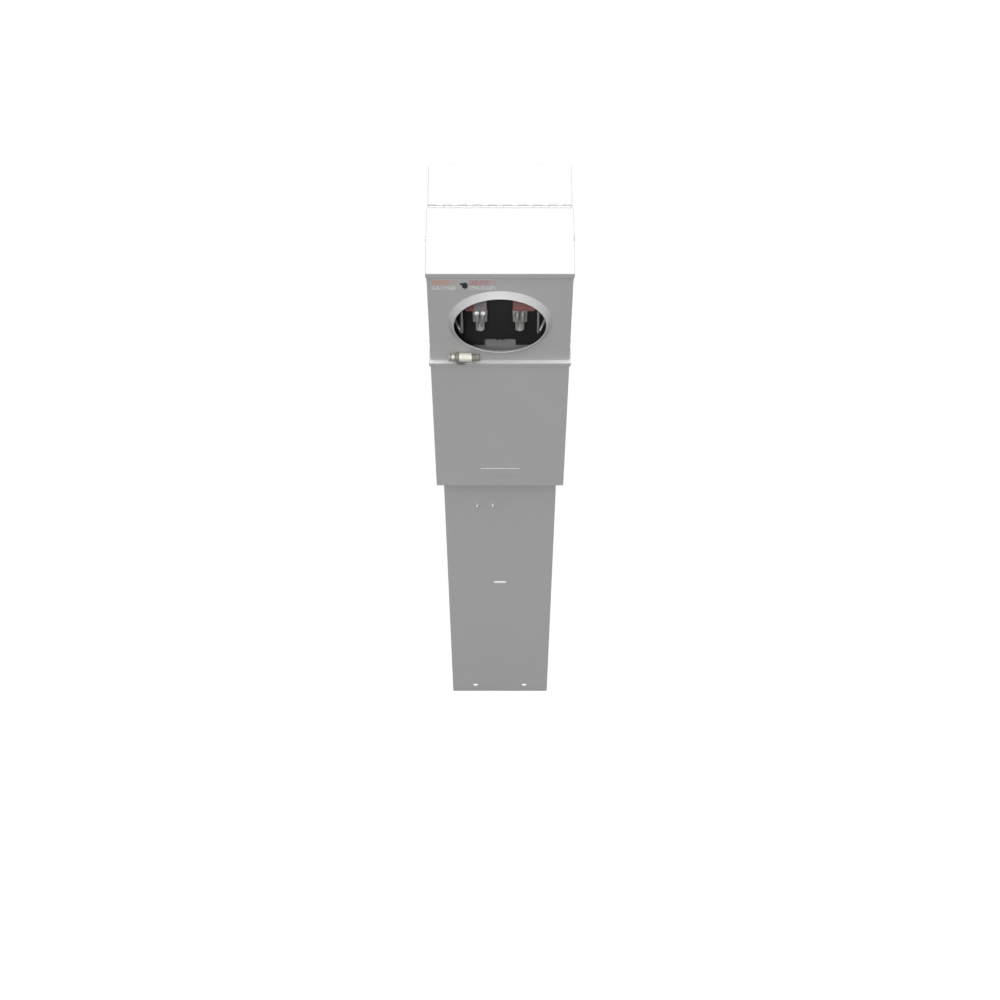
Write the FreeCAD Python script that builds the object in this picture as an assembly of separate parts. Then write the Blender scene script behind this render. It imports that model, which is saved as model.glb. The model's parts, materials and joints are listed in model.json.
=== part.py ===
import FreeCAD, Part
import math
import os

# Metered power pedestal for charging a vehicle: a folded steel post that stands on the ground, an equipment
# box on top with a ring for a socket meter in front, and breakers and outlets behind a hinged rear lid.
# Millimetres. +X right, +Y back, +Z up, and the origin is under the middle of the post's foot.

os.makedirs("parts", exist_ok=True)

# ---------------------------------------------------------------- driving dimensions
SHEET = 2.0               # folded steel of the post, housing and covers
HEIGHT = 1733.0           # top of the cap
GAP = 0.5                 # between a cover that moves and what it covers
FAR = 400.0               # longer than anything that is cut away

COVER_HALF = 127.0        # half width of both front covers and of the rear lid
HOUSING_HALF = 124.5      # half width of the housing
CAP_HALF = 129.0
LIP_HALF = 129.5
POST_HALF = 113.5

METER_FACE_Y = -110.5     # front face of the meter cover
LOWER_FACE_Y = METER_FACE_Y - 5.0
LIP_FACE_Y = METER_FACE_Y - 7.0
CAP_FACE_Y = METER_FACE_Y - 2.0
HOUSING_FRONT_Y = METER_FACE_Y + SHEET
COVER_RETURN_Y = -83.0    # back edge of the covers' side returns
FLANGE_END_Y = -99.0      # back edge of the covers' top and bottom flanges
POST_FRONT_Y = -95.5
POST_BACK_Y = 69.5
CAP_REAR_Y = 28.5
HOUSING_LOW_REAR_Y = 73.0
HOUSING_REAR_Y = 123.5
LID_REAR_Y = 126.0

LOWER_COVER_Z = 1020.6
SEAM_Z = 1464.0           # top of the lower cover, where the meter cover starts
LIP_HEIGHT = 11.0
HOUSING_Z = 1024.0
POST_TOP_Z = 1064.0
STEP_Z = 1330.0           # the housing grows deeper above this level
SLOPE_TOP_Z = 1380.0
BEND = 2.5                # outer radius of a fold

RING_Z = 1586.0           # centre of the meter opening
RING_R = 82.0             # inner radius of the ring, at its front lip
RING_FOOT_R = 93.0        # where the sloped wall of the ring meets the cover
RING_HEIGHT = 10.2
RING_LIP = 2.0            # flat front of the lip
RING_LAND = 1.6           # length of the lip's bore

BASE_FACE_Y = -50.3       # front face of the insulating plate
PAN_FACE_Y = BASE_FACE_Y + 10.0   # front face of the pan that carries it
DIVIDER_Y = 18.0          # front face of the divider
PANEL_Y = 78.0            # front face of the outlet panel
JAW_X = 36.0
JAW_Z = 40.5              # jaws stand this far above and below the ring centre
LUG_Z = 84.2              # round end of a lug, from the ring centre

HINGE_Y = 33.0
HINGE_Z = HEIGHT - 3.0
KNUCKLE_R = 3.0
KNUCKLE_BORE_R = 1.6
HINGE_PIN_R = 1.55
KNUCKLE_COUNT = 19
KNUCKLE_GAP = 0.4
HINGE_HALF = 124.9        # half length of the row of knuckles

LATCH_Y = -121.0          # axis of the barrel latch
LATCH_Z = 1488.6
BOLT_R = 3.0

STAPLE_Z = (1403.0, 1417.0)
EYE_Y = 129.6             # centre of the padlock eye
EYE_R = 3.5
BREAKER_Z = 1655.0
BREAKER_HEIGHT = 86.0
POLE = 25.0               # width of one breaker pole
TOGGLE_Y = 76.0
TOGGLE_TILT = 20.0        # degrees above level when on
OUTLET_Z = 1500.0
EV_X = -55.0
MAIN_X = 0.0
BRANCH_X = 42.5
DUPLEX_X = 55.0

V = FreeCAD.Vector
X_AXIS = V(1, 0, 0)
Y_AXIS = V(0, 1, 0)
Z_AXIS = V(0, 0, 1)


# ---------------------------------------------------------------- small shape helpers
def block(x0, x1, y0, y1, z0, z1):
    """A box from its lowest to its highest corner."""
    return Part.makeBox(x1 - x0, y1 - y0, z1 - z0, V(x0, y0, z0))


def rod(start, direction, radius, length):
    """A cylinder that starts at a point and runs along a direction."""
    return Part.makeCylinder(radius, length, V(*start), direction)


def extrude(points, vector):
    """A prism over a flat outline of 3-D points."""
    corners = [V(*point) for point in points]
    outline = Part.makePolygon(corners + [corners[0]])
    return Part.Face(outline).extrude(vector)


def side_prism(points_yz, x0, x1):
    return extrude([(x0, y, z) for y, z in points_yz], V(x1 - x0, 0, 0))


def plan_prism(points_xy, z0, z1):
    return extrude([(x, y, z0) for x, y in points_xy], V(0, 0, z1 - z0))


def hexagon(centre, direction, across, height):
    """A hexagonal nut or head on an axis along X or Y, or Z."""
    radius = across / math.sqrt(3.0)
    points = []
    for corner in range(6):
        angle = math.radians(60.0 * corner)
        u = radius * math.cos(angle)
        w = radius * math.sin(angle)
        if direction.x:
            points.append((centre[0], centre[1] + u, centre[2] + w))
        elif direction.y:
            points.append((centre[0] + u, centre[1], centre[2] + w))
        else:
            points.append((centre[0] + u, centre[1] + w, centre[2]))
    return extrude(points, V(direction.x * height, direction.y * height, direction.z * height))


def round_edges(shape, radius, chosen):
    """Fillets the edges whose middle point and direction the test accepts."""
    edges = []
    for edge in shape.Edges:
        middle = edge.CenterOfMass
        direction = edge.tangentAt(edge.FirstParameter)
        if chosen(middle, direction):
            edges.append(edge)
    return shape.makeFillet(radius, edges)


def upright(direction):
    return abs(direction.z) > 0.99


def near(value, target):
    return abs(value - target) < 0.01


def rounded_plate(x0, x1, y0, y1, z0, z1, radius):
    """A plate that faces front or back, with its four corners rounded."""
    plate = block(x0, x1, y0, y1, z0, z1)
    return round_edges(plate, radius, lambda middle, way: abs(way.y) > 0.99)


def pan_screw(point, direction, head_r, head_h, shank_r, length):
    """A pan-head screw: the point is where the head meets the sheet, the direction points out of the head."""
    head = rod(point, direction, head_r, head_h)
    crown = [edge for edge in head.Edges if edge.CenterOfMass.distanceToPoint(V(*point)) > head_h - 0.01]
    rim = [edge for edge in crown if len(edge.Vertexes) == 1][:1]
    screw = head.makeFillet(min(head_h, head_r) * 0.6, rim)
    screw = screw.fuse(rod(point, direction * -1, shank_r, length))
    tip = V(*point) + direction * head_h
    sides = (Z_AXIS, X_AXIS) if abs(direction.y) > 0.5 else (Z_AXIS, Y_AXIS)
    slot_length = head_r * 1.1
    slot_width = head_r * 0.28
    slot_depth = min(head_h, head_r) * 0.9
    for along, across in (sides, sides[::-1]):
        half = along * (slot_length / 2) + across * (slot_width / 2) + direction * (slot_depth / 2)
        size = V(abs(half.x), abs(half.y), abs(half.z)) * 2
        screw = screw.cut(Part.makeBox(size.x, size.y, size.z, tip - size * 0.5))
    return screw


def save(name, *solids):
    """Writes one node. Several solids in a node stay separate."""
    shape = solids[0] if len(solids) == 1 else Part.makeCompound(list(solids))
    shape.exportStep("parts/" + name + ".step")
    print(name, "solids", len(shape.Solids), "volume", round(shape.Volume), "valid", shape.isValid())


# ---------------------------------------------------------------- post
ANCHOR_X = 58.5
ANCHOR_Z = 34.0
ANCHOR_HOLE_R = 6.35
POST_SLOT_Z = 565.6
POST_SLOT_HALF = 14.5
POST_SLOT_HEIGHT = 8.5
GROUND_SCREW_X = (-46.9, -15.3)
GROUND_SCREW_Z = 907.8
SCREW_R = 2.5
REAR_PANEL_Z = (600.0, 1018.0)
REAR_PANEL_SCREW_X = 103.0
REAR_PANEL_SCREW_Z = (614.0, 809.0, 1004.0)
MOUNT_BOLT_Y = (-50.0, 30.0)
MOUNT_BOLT_Z = 1043.0
MOUNT_BOLT_R = 4.0
HOLE_GAP = 0.1


def make_post_shell():
    """A channel with rounded front folds, rear flanges, two anchor holes, a slot and screw holes."""
    flange = 20.0
    outer = block(-POST_HALF, POST_HALF, POST_FRONT_Y, POST_BACK_Y, 0, POST_TOP_Z)
    outer = round_edges(outer, BEND, lambda middle, way: upright(way))
    half = POST_HALF - SHEET
    inner = block(-half, half, POST_FRONT_Y + SHEET, POST_BACK_Y - SHEET, -1, FAR * 4)
    shell = outer.cut(inner)
    shell = shell.cut(block(flange - POST_HALF, POST_HALF - flange, 0, FAR, -1, FAR * 4))
    for side in (-1, 1):
        hole = (side * ANCHOR_X, POST_FRONT_Y - 1, ANCHOR_Z)
        shell = shell.cut(rod(hole, Y_AXIS, ANCHOR_HOLE_R, SHEET + 2))
        for y in MOUNT_BOLT_Y:
            start = (side * (POST_HALF - 5), y, MOUNT_BOLT_Z)
            shell = shell.cut(rod(start, X_AXIS * side, MOUNT_BOLT_R + HOLE_GAP, 10))
        for z in REAR_PANEL_SCREW_Z:
            start = (side * REAR_PANEL_SCREW_X, POST_BACK_Y - 5, z)
            shell = shell.cut(rod(start, Y_AXIS, SCREW_R + HOLE_GAP, 10))
    slot = rounded_plate(-POST_SLOT_HALF, POST_SLOT_HALF, POST_FRONT_Y - 1, POST_FRONT_Y + SHEET + 1,
                         POST_SLOT_Z - POST_SLOT_HEIGHT / 2, POST_SLOT_Z + POST_SLOT_HEIGHT / 2,
                         POST_SLOT_HEIGHT / 2 - 0.01)
    shell = shell.cut(slot)
    for x in GROUND_SCREW_X:
        shell = shell.cut(rod((x, POST_FRONT_Y - 1, GROUND_SCREW_Z), Y_AXIS, SCREW_R + HOLE_GAP, SHEET + 2))
    save("post_shell", shell)


def make_rear_panel():
    """The flat plate that closes the back of the post above the ground, and its six screws."""
    half = 111.0
    panel = rounded_plate(-half, half, POST_BACK_Y, POST_BACK_Y + SHEET, *REAR_PANEL_Z, 4.0)
    screws = []
    for side in (-1, 1):
        for z in REAR_PANEL_SCREW_Z:
            point = (side * REAR_PANEL_SCREW_X, POST_BACK_Y + SHEET, z)
            panel = panel.cut(rod((point[0], POST_BACK_Y - 1, z), Y_AXIS, SCREW_R + HOLE_GAP, SHEET + 2))
            screws.append(pan_screw(point, Y_AXIS, 5.0, 2.6, SCREW_R, 8.0))
    save("post_rear_panel", panel)
    save("rear_panel_screws", *screws)


def make_ground_bar():
    """The earthing bar behind the post's front wall, with its two screws through the wall."""
    back = POST_FRONT_Y + SHEET
    bar = block(-58, -4, back, back + 9, GROUND_SCREW_Z - 6, GROUND_SCREW_Z + 6)
    for x in GROUND_SCREW_X:
        bar = bar.cut(rod((x, back - 1, GROUND_SCREW_Z), Y_AXIS, SCREW_R + HOLE_GAP, 8))
    wire_holes = 3
    for index in range(wire_holes):
        x = -39.0 + 8.0 * index
        bar = bar.cut(rod((x, back + 4.5, GROUND_SCREW_Z - 7), Z_AXIS, 2.6, 14))
    screws = []
    for x in GROUND_SCREW_X:
        screws.append(pan_screw((x, POST_FRONT_Y, GROUND_SCREW_Z), Y_AXIS * -1, 2.8, 6.5, SCREW_R, 8.0))
    save("ground_bar", bar)
    save("ground_bar_screws", *screws)


def make_post_mounting():
    """Spacer bars between post and housing, and the four low-head bolts with nuts that clamp them."""
    spacers = []
    bolts = []
    inner = HOUSING_HALF - SHEET
    for side in (-1, 1):
        x0, x1 = sorted((side * POST_HALF, side * inner))
        spacer = block(x0, x1, MOUNT_BOLT_Y[0] - 14, MOUNT_BOLT_Y[1] + 14, HOUSING_Z + SHEET, 1058.0)
        for y in MOUNT_BOLT_Y:
            start = (side * (POST_HALF - 1), y, MOUNT_BOLT_Z)
            spacer = spacer.cut(rod(start, X_AXIS * side, MOUNT_BOLT_R + HOLE_GAP, 12))
            point = (side * HOUSING_HALF, y, MOUNT_BOLT_Z)
            bolts.append(pan_screw(point, X_AXIS * side, 8.5, 1.6, MOUNT_BOLT_R, 22.0))
            nut_start = (side * (POST_HALF - SHEET), y, MOUNT_BOLT_Z)
            nut = hexagon(nut_start, X_AXIS * -side, 13.0, 6.5)
            bore = rod((side * POST_HALF, y, MOUNT_BOLT_Z), X_AXIS * -side, MOUNT_BOLT_R + 0.05, 12)
            bolts.append(nut.cut(bore))
        spacers.append(spacer)
    save("mount_spacers", *spacers)
    save("mount_bolts", *bolts)


# ---------------------------------------------------------------- housing
FRONT_FLANGE = 12.0
RAIL_Y = 24.5             # front of the folded rail under the back of the cap
RAIL_Z = 1704.0
PANEL_FLANGE = 14.0
PANEL_Z = (1402.0, 1724.0)
CORD_EXIT_HALF = 90.0
CORD_EXIT_Y = (84.0, 112.0)
SILL_Z = 1424.0
RIVET_X = (-104.0, -52.0, 0.0, 52.0, 104.0)
RIVET_Z = 1712.0
RIVET_R = 2.0
PANEL_SCREW_X = 115.0
PANEL_SCREW_Z = (1412.0, 1713.0)
SIDE_TOP_Z = HEIGHT - 6.5  # top of the side plates behind the cap
SEAM_RAIL_Y = -97.0
COVER_SCREW_PLACES = ((-92.0, 1500.0), (-92.0, 1690.0))
CAP_SCREW_PLACE = (-30.0, 1723.0)
COVER_SCREW_R = 2.0
COVER_SCREW_HEAD = (4.0, 1.3)


def housing_side():
    """The right side plate: deeper above the step, with a front flange and a flange for the outlet panel."""
    front = HOUSING_FRONT_Y
    inner = HOUSING_HALF - SHEET
    outline = [(front, HOUSING_Z), (HOUSING_LOW_REAR_Y, HOUSING_Z), (HOUSING_LOW_REAR_Y, STEP_Z),
               (HOUSING_REAR_Y, SLOPE_TOP_Z), (HOUSING_REAR_Y, SIDE_TOP_Z), (RAIL_Y + SHEET, SIDE_TOP_Z),
               (RAIL_Y + SHEET, HEIGHT - SHEET), (front, HEIGHT - SHEET)]
    side = side_prism(outline, inner, HOUSING_HALF)
    flange = block(inner - FRONT_FLANGE, inner, front, front + SHEET, HOUSING_Z + SHEET, HEIGHT - 2 * SHEET)
    side = side.fuse(flange)
    side = side.fuse(block(inner - PANEL_FLANGE, inner, PANEL_Y - SHEET, PANEL_Y, PANEL_Z[0], SIDE_TOP_Z))
    seam_low = SEAM_Z - SHEET - 0.4
    seam_high = SEAM_Z + GAP + SHEET + 0.4
    side = side.cut(block(0, FAR, front - 1, FLANGE_END_Y + 0.4, seam_low, seam_high))
    for y in MOUNT_BOLT_Y:
        side = side.cut(rod((inner - 1, y, MOUNT_BOLT_Z), X_AXIS, MOUNT_BOLT_R + HOLE_GAP, SHEET + 2))
    for z in PANEL_SCREW_Z:
        side = side.cut(rod((PANEL_SCREW_X, PANEL_Y - 5, z), Y_AXIS, COVER_SCREW_R + HOLE_GAP, 10))
    for y, z in (*COVER_SCREW_PLACES, CAP_SCREW_PLACE):
        side = side.cut(rod((inner - 1, y, z), X_AXIS, COVER_SCREW_R + HOLE_GAP, SHEET + 2))
    return side.removeSplitter()


def make_housing():
    """Two side plates, the stepped back, and the cross members: floor, top deck and seam rail."""
    front = HOUSING_FRONT_Y
    inner = HOUSING_HALF - SHEET
    right = housing_side()
    save("housing_sides", right.mirror(V(0, 0, 0), X_AXIS), right)

    back = block(-inner, inner, HOUSING_LOW_REAR_Y - SHEET, HOUSING_LOW_REAR_Y, HOUSING_Z, STEP_Z + 1)
    rise = 2.8
    slope = [(HOUSING_LOW_REAR_Y - SHEET, STEP_Z), (HOUSING_LOW_REAR_Y, STEP_Z),
             (HOUSING_REAR_Y, SLOPE_TOP_Z), (HOUSING_REAR_Y, SLOPE_TOP_Z + rise),
             (HOUSING_REAR_Y - SHEET, SLOPE_TOP_Z + rise), (HOUSING_LOW_REAR_Y - SHEET, STEP_Z + rise)]
    back = back.fuse(side_prism(slope, -inner, inner))
    back = back.fuse(block(-inner, inner, HOUSING_REAR_Y - SHEET, HOUSING_REAR_Y, SLOPE_TOP_Z, SILL_Z))
    back = back.cut(block(-CORD_EXIT_HALF, CORD_EXIT_HALF, *CORD_EXIT_Y, STEP_Z, SLOPE_TOP_Z + 20))
    slot_z = (STAPLE_Z[0] - 0.2, STAPLE_Z[1] + 0.2)
    back = back.cut(block(-1.7, 1.7, HOUSING_REAR_Y - 5, HOUSING_REAR_Y + 1, *slot_z))
    save("housing_back", back.removeSplitter())

    room = 0.3
    floor = block(-inner, inner, front, HOUSING_LOW_REAR_Y - SHEET, HOUSING_Z, HOUSING_Z + SHEET)
    floor = floor.cut(block(-POST_HALF - room, POST_HALF + room, POST_FRONT_Y - room, FAR, 0, FAR * 5))
    deck = block(-inner, inner, front, RAIL_Y + SHEET, HEIGHT - 2 * SHEET, HEIGHT - SHEET)
    deck = deck.fuse(block(-inner, inner, RAIL_Y, RAIL_Y + SHEET, RAIL_Z, HEIGHT - SHEET))
    for x in RIVET_X:
        deck = deck.cut(rod((x, RAIL_Y - 1, RIVET_Z), Y_AXIS, RIVET_R + 0.05, SHEET + 2))
    seam_rail = block(-inner, inner, SEAM_RAIL_Y, SEAM_RAIL_Y + SHEET, SEAM_Z - 28, SEAM_Z - 8)
    save("housing_cross_members", floor, deck.removeSplitter(), seam_rail)


def make_cap():
    """The top cover over the front half: a shallow tray turned over, with a deeper back flange."""
    cap = block(-CAP_HALF, CAP_HALF, CAP_FACE_Y, CAP_REAR_Y, HEIGHT - 13, HEIGHT)
    cap = round_edges(cap, BEND, lambda middle, way: upright(way) and middle.y < 0)
    front_top = CAP_REAR_Y - 1
    cap = round_edges(cap, BEND - 0.5, lambda middle, way: near(middle.z, HEIGHT) and middle.y < front_top)
    cap = cap.cut(block(-CAP_HALF + SHEET, CAP_HALF - SHEET, CAP_FACE_Y + SHEET, CAP_REAR_Y - SHEET,
                        HEIGHT - FAR, HEIGHT - SHEET))
    cap = cap.cut(block(-FAR, FAR, CAP_REAR_Y - SHEET, FAR, HEIGHT - FAR, HEIGHT - SHEET))
    inner = HOUSING_HALF - SHEET - 0.2
    cap = cap.fuse(block(-inner, inner, CAP_REAR_Y - SHEET, CAP_REAR_Y, RAIL_Z, HEIGHT - SHEET))
    for x in RIVET_X:
        cap = cap.cut(rod((x, CAP_REAR_Y - SHEET - 1, RIVET_Z), Y_AXIS, RIVET_R + 0.05, SHEET + 2))
    y, z = CAP_SCREW_PLACE
    for side in (-1, 1):
        start = (side * (CAP_HALF - SHEET - 1), y, z)
        cap = cap.cut(rod(start, X_AXIS * side, COVER_SCREW_R + HOLE_GAP, SHEET + 2))
    save("cap", cap.removeSplitter())


def make_housing_screws():
    """Ten low screws: in the sides of the cap and of the meter cover, and round the outlet panel."""
    screws = []
    cap_y, cap_z = CAP_SCREW_PLACE
    for side in (-1, 1):
        places = [((side * CAP_HALF, cap_y, cap_z), X_AXIS * side)]
        for y, z in COVER_SCREW_PLACES:
            places.append(((side * COVER_HALF, y, z), X_AXIS * side))
        for z in PANEL_SCREW_Z:
            places.append(((side * PANEL_SCREW_X, PANEL_Y + SHEET, z), Y_AXIS))
        for point, way in places:
            screws.append(pan_screw(point, way, *COVER_SCREW_HEAD, COVER_SCREW_R, 8.5))
    save("housing_screws", *screws)


def meter_ring():
    """The drawn ring: a wall that slopes in from the cover to a front lip with a short bore."""
    tip = METER_FACE_Y - RING_HEIGHT
    inside = METER_FACE_Y + SHEET
    soft = 0.4
    lip_r = RING_R + RING_LIP
    crown = 1.0
    lean = (RING_FOOT_R - lip_r) / (RING_HEIGHT - crown)
    land_end = tip + RING_LAND
    inner_foot = RING_R + lean * (inside - land_end)
    turn = math.sqrt(0.5)

    def at(radius, y):
        return V(radius, y, RING_Z)

    crown_middle = at(lip_r - crown + crown * turn, tip + crown - crown * turn)
    soft_middle = at(RING_R + soft - soft * turn, tip + soft - soft * turn)
    edges = [Part.makeLine(at(inner_foot, inside), at(RING_FOOT_R, inside)),
             Part.makeLine(at(RING_FOOT_R, inside), at(RING_FOOT_R, METER_FACE_Y)),
             Part.makeLine(at(RING_FOOT_R, METER_FACE_Y), at(lip_r, tip + crown)),
             Part.Arc(at(lip_r, tip + crown), crown_middle, at(lip_r - crown, tip)).toShape(),
             Part.makeLine(at(lip_r - crown, tip), at(RING_R + soft, tip)),
             Part.Arc(at(RING_R + soft, tip), soft_middle, at(RING_R, tip + soft)).toShape(),
             Part.makeLine(at(RING_R, tip + soft), at(RING_R, land_end)),
             Part.makeLine(at(RING_R, land_end), at(inner_foot, inside))]
    return Part.Face(Part.Wire(edges)).revolve(V(0, 0, RING_Z), Y_AXIS, 360)


def make_meter_cover():
    """The upper front cover: side returns, a bottom flange and the drawn ring around the meter opening."""
    bottom = SEAM_Z + GAP
    top = HEIGHT - SHEET
    cover = block(-COVER_HALF, COVER_HALF, METER_FACE_Y, COVER_RETURN_Y, bottom, top)
    cover = round_edges(cover, BEND, lambda middle, way: upright(way) and middle.y < COVER_RETURN_Y - 1)
    cover = cover.cut(block(-COVER_HALF + SHEET, COVER_HALF - SHEET, METER_FACE_Y + SHEET, FAR,
                            bottom + SHEET, FAR * 5))
    cover = cover.cut(block(-COVER_HALF + SHEET, COVER_HALF - SHEET, FLANGE_END_Y, FAR, bottom - 1, FAR * 5))
    cover = cover.cut(rod((0, METER_FACE_Y - 1, RING_Z), Y_AXIS, RING_FOOT_R - 0.5, 60))
    cover = cover.fuse(meter_ring())
    for side in (-1, 1):
        for y, z in COVER_SCREW_PLACES:
            start = (side * (COVER_HALF - SHEET - 1), y, z)
            cover = cover.cut(rod(start, X_AXIS * side, COVER_SCREW_R + HOLE_GAP, SHEET + 2))
    save("meter_cover", cover.removeSplitter())


def make_lower_cover():
    """The removable lower cover: returns on four sides, a folded lip along its top and a plain raised pad."""
    cover = block(-COVER_HALF, COVER_HALF, LOWER_FACE_Y, COVER_RETURN_Y, LOWER_COVER_Z, SEAM_Z)
    cover = round_edges(cover, BEND, lambda middle, way: upright(way) and middle.y < COVER_RETURN_Y - 1)
    cover = cover.cut(block(-COVER_HALF + SHEET, COVER_HALF - SHEET, LOWER_FACE_Y + SHEET, FAR,
                            LOWER_COVER_Z + SHEET, SEAM_Z - SHEET))
    cover = cover.cut(block(-COVER_HALF + SHEET, COVER_HALF - SHEET, FLANGE_END_Y, FAR, 0, FAR * 5))
    lip = block(-LIP_HALF, LIP_HALF, LIP_FACE_Y, COVER_RETURN_Y, SEAM_Z - LIP_HEIGHT, SEAM_Z)
    lip = round_edges(lip, BEND, lambda middle, way: upright(way) and middle.y < COVER_RETURN_Y - 1)
    lip = round_edges(lip, 0.8, lambda middle, way: middle.y < LIP_FACE_Y + 0.1)
    lip = lip.cut(block(-COVER_HALF + 1, COVER_HALF - 1, LOWER_FACE_Y + 1, FAR, 0, FAR * 5))
    cover = cover.fuse(lip)
    pad_z = 1072.6
    pad = rounded_plate(-40, 40, LOWER_FACE_Y - 0.9, LOWER_FACE_Y + 0.5, pad_z - 15, pad_z + 15, 5.0)
    pad = round_edges(pad, 0.7, lambda middle, way: near(middle.y, LOWER_FACE_Y - 0.9))
    cover = cover.fuse(pad)
    tab_x = (RIB_X[0][0] + 0.2, RIB_X[0][1] - 0.2)
    tab = block(*tab_x, LIP_FACE_Y + 0.2, LIP_FACE_Y + 4.6, SEAM_Z - 1, LATCH_Z - 4)
    cover = cover.fuse(tab.cut(rod((-FAR, LATCH_Y, LATCH_Z), X_AXIS, RIB_R, 2 * FAR)))
    save("lower_cover", cover.removeSplitter())


def make_label():
    """The thin rating plate at the top left of the meter cover."""
    save("rating_label", rounded_plate(-118, -8, METER_FACE_Y - 0.5, METER_FACE_Y, 1683, 1714, 2.0))


# ---------------------------------------------------------------- barrel latch
KNOB_X = (-93.0, -80.2)
EAR_X = (-79.5, -75.0)
BARREL_X = (-74.4, -51.0)
RIB_X = ((-50.4, -45.3), (-43.7, -37.7))
RIB_R = 6.3
NECK_R = 5.2
EAR_R = 7.9
KNOB_R = 7.8
BARREL_R = 8.5
CHAMBER_R = 6.0
CHAMBER_X = (-72.0, -53.0)
COLLAR_X = (-55.5, -53.6)
BOLT_END_X = -37.5


def make_latch():
    """Bracket, barrel, spring and the bolt with its knob. The bolt runs along X."""
    plate_y = METER_FACE_Y - SHEET
    bracket = rounded_plate(-80, -51, plate_y, METER_FACE_Y, LATCH_Z - 20, LATCH_Z - 0.6, 2.0)
    ear = rod((EAR_X[0], LATCH_Y, LATCH_Z), X_AXIS, EAR_R, EAR_X[1] - EAR_X[0])
    ear = ear.fuse(block(*EAR_X, LATCH_Y, plate_y, LATCH_Z - EAR_R, LATCH_Z - 1))
    ear = ear.cut(rod((EAR_X[0] - 1, LATCH_Y, LATCH_Z), X_AXIS, BOLT_R + 0.3, 8))
    saddle = block(BARREL_X[0] + 2, BARREL_X[1] - 2, LATCH_Y, plate_y, LATCH_Z - 6.5, LATCH_Z - 0.6)
    saddle = saddle.cut(rod((BARREL_X[0] - 1, LATCH_Y, LATCH_Z), X_AXIS, BARREL_R, 40))
    saddle = saddle.cut(block(-FAR, FAR, -FAR, LATCH_Y + 3, 0, FAR * 5))
    save("latch_bracket", bracket.fuse(ear).fuse(saddle).removeSplitter())

    length = BARREL_X[1] - BARREL_X[0]
    barrel = rod((BARREL_X[0], LATCH_Y, LATCH_Z), X_AXIS, BARREL_R, length)
    barrel = round_edges(barrel, 1.2, lambda middle, way: any(near(middle.x, end) for end in BARREL_X))
    barrel = barrel.cut(rod((CHAMBER_X[0], LATCH_Y, LATCH_Z), X_AXIS, CHAMBER_R, CHAMBER_X[1] - CHAMBER_X[0]))
    barrel = barrel.cut(rod((BARREL_X[0] - 1, LATCH_Y, LATCH_Z), X_AXIS, BOLT_R + 0.08, length + 2))
    slot = block(-70, -52.5, LATCH_Y - BARREL_R - 1, LATCH_Y - BARREL_R + 1.1, LATCH_Z - 0.7, LATCH_Z + 0.7)
    save("latch_barrel", barrel.cut(slot))

    coils = 7
    wire = 0.9
    mean_r = 4.5
    room = COLLAR_X[0] - CHAMBER_X[0]
    travel = room - wire - 0.2
    path = Part.makeHelix(travel / coils, travel, mean_r)
    corners = [V(mean_r + u * wire / 2, 0, w * wire / 2) for u, w in ((-1, -1), (1, -1), (1, 1), (-1, 1))]
    section = Part.makePolygon(corners + [corners[0]])
    spring = Part.Wire(path).makePipeShell([section], True, True)
    spring.rotate(V(0, 0, 0), Y_AXIS, 90)
    spring.translate(V(CHAMBER_X[0] + wire / 2 + 0.1, LATCH_Y, LATCH_Z))
    save("latch_spring", spring)

    start = (KNOB_X[0] + 3, LATCH_Y, LATCH_Z)
    bolt = rod(start, X_AXIS, BOLT_R, BOLT_END_X - start[0])
    bolt = round_edges(bolt, 0.8, lambda middle, way: near(middle.x, BOLT_END_X))
    collar = rod((COLLAR_X[0], LATCH_Y, LATCH_Z), X_AXIS, CHAMBER_R - 0.3, COLLAR_X[1] - COLLAR_X[0])
    save("latch_bolt", bolt.fuse(collar))
    knob = rod((KNOB_X[0], LATCH_Y, LATCH_Z), X_AXIS, KNOB_R, KNOB_X[1] - KNOB_X[0])
    knob = round_edges(knob, 5.5, lambda middle, way: any(near(middle.x, end) for end in KNOB_X))
    save("latch_knob", knob.cut(rod(start, X_AXIS, BOLT_R, 20)))


def make_latch_keeper():
    """A spool with two ribs on the lower cover's tab. Its slot opens to the rear, around the latch bolt."""
    neck = rod((RIB_X[0][0], LATCH_Y, LATCH_Z), X_AXIS, NECK_R, RIB_X[1][1] - RIB_X[0][0])
    keeper = neck
    for x0, x1 in RIB_X:
        rib = rod((x0, LATCH_Y, LATCH_Z), X_AXIS, RIB_R, x1 - x0)
        keeper = keeper.fuse(rib)
    slot = BOLT_R + 0.5
    keeper = keeper.cut(block(-FAR, FAR, LATCH_Y, FAR, LATCH_Z - slot, LATCH_Z + slot))
    keeper = keeper.cut(rod((-FAR, LATCH_Y, LATCH_Z), X_AXIS, slot, FAR * 2))
    save("latch_keeper", keeper.removeSplitter())


# ---------------------------------------------------------------- meter socket
BASE_HALF = 100.0
BASE_Z = (RING_Z - 160.7, RING_Z + 117.0)
NOTCH_HALF = 29.0
NOTCH_TOP_Z = RING_Z - 141.8
PAN_HALF = 104.0
PAN_Z = (RING_Z - 215.0, RING_Z + 121.0)
STANDOFF_X = 92.0
STANDOFF_Z = (PAN_Z[0] + 15.0, PAN_Z[1] - 14.0)
BUSBAR_Z = RING_Z - 65.0
BUSBAR_HALF = 8.0
BUSBAR_THICK = 3.0
BUSBAR_BACK_Y = 34.0
RISER_X = (6.0, 18.0)
JAW_HALF_WIDTH = 13.3
JAW_HALF_HEIGHT = 12.5
JAW_BACK_Y = BASE_FACE_Y - 8.0
LUG_HALF = 7.8


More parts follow.
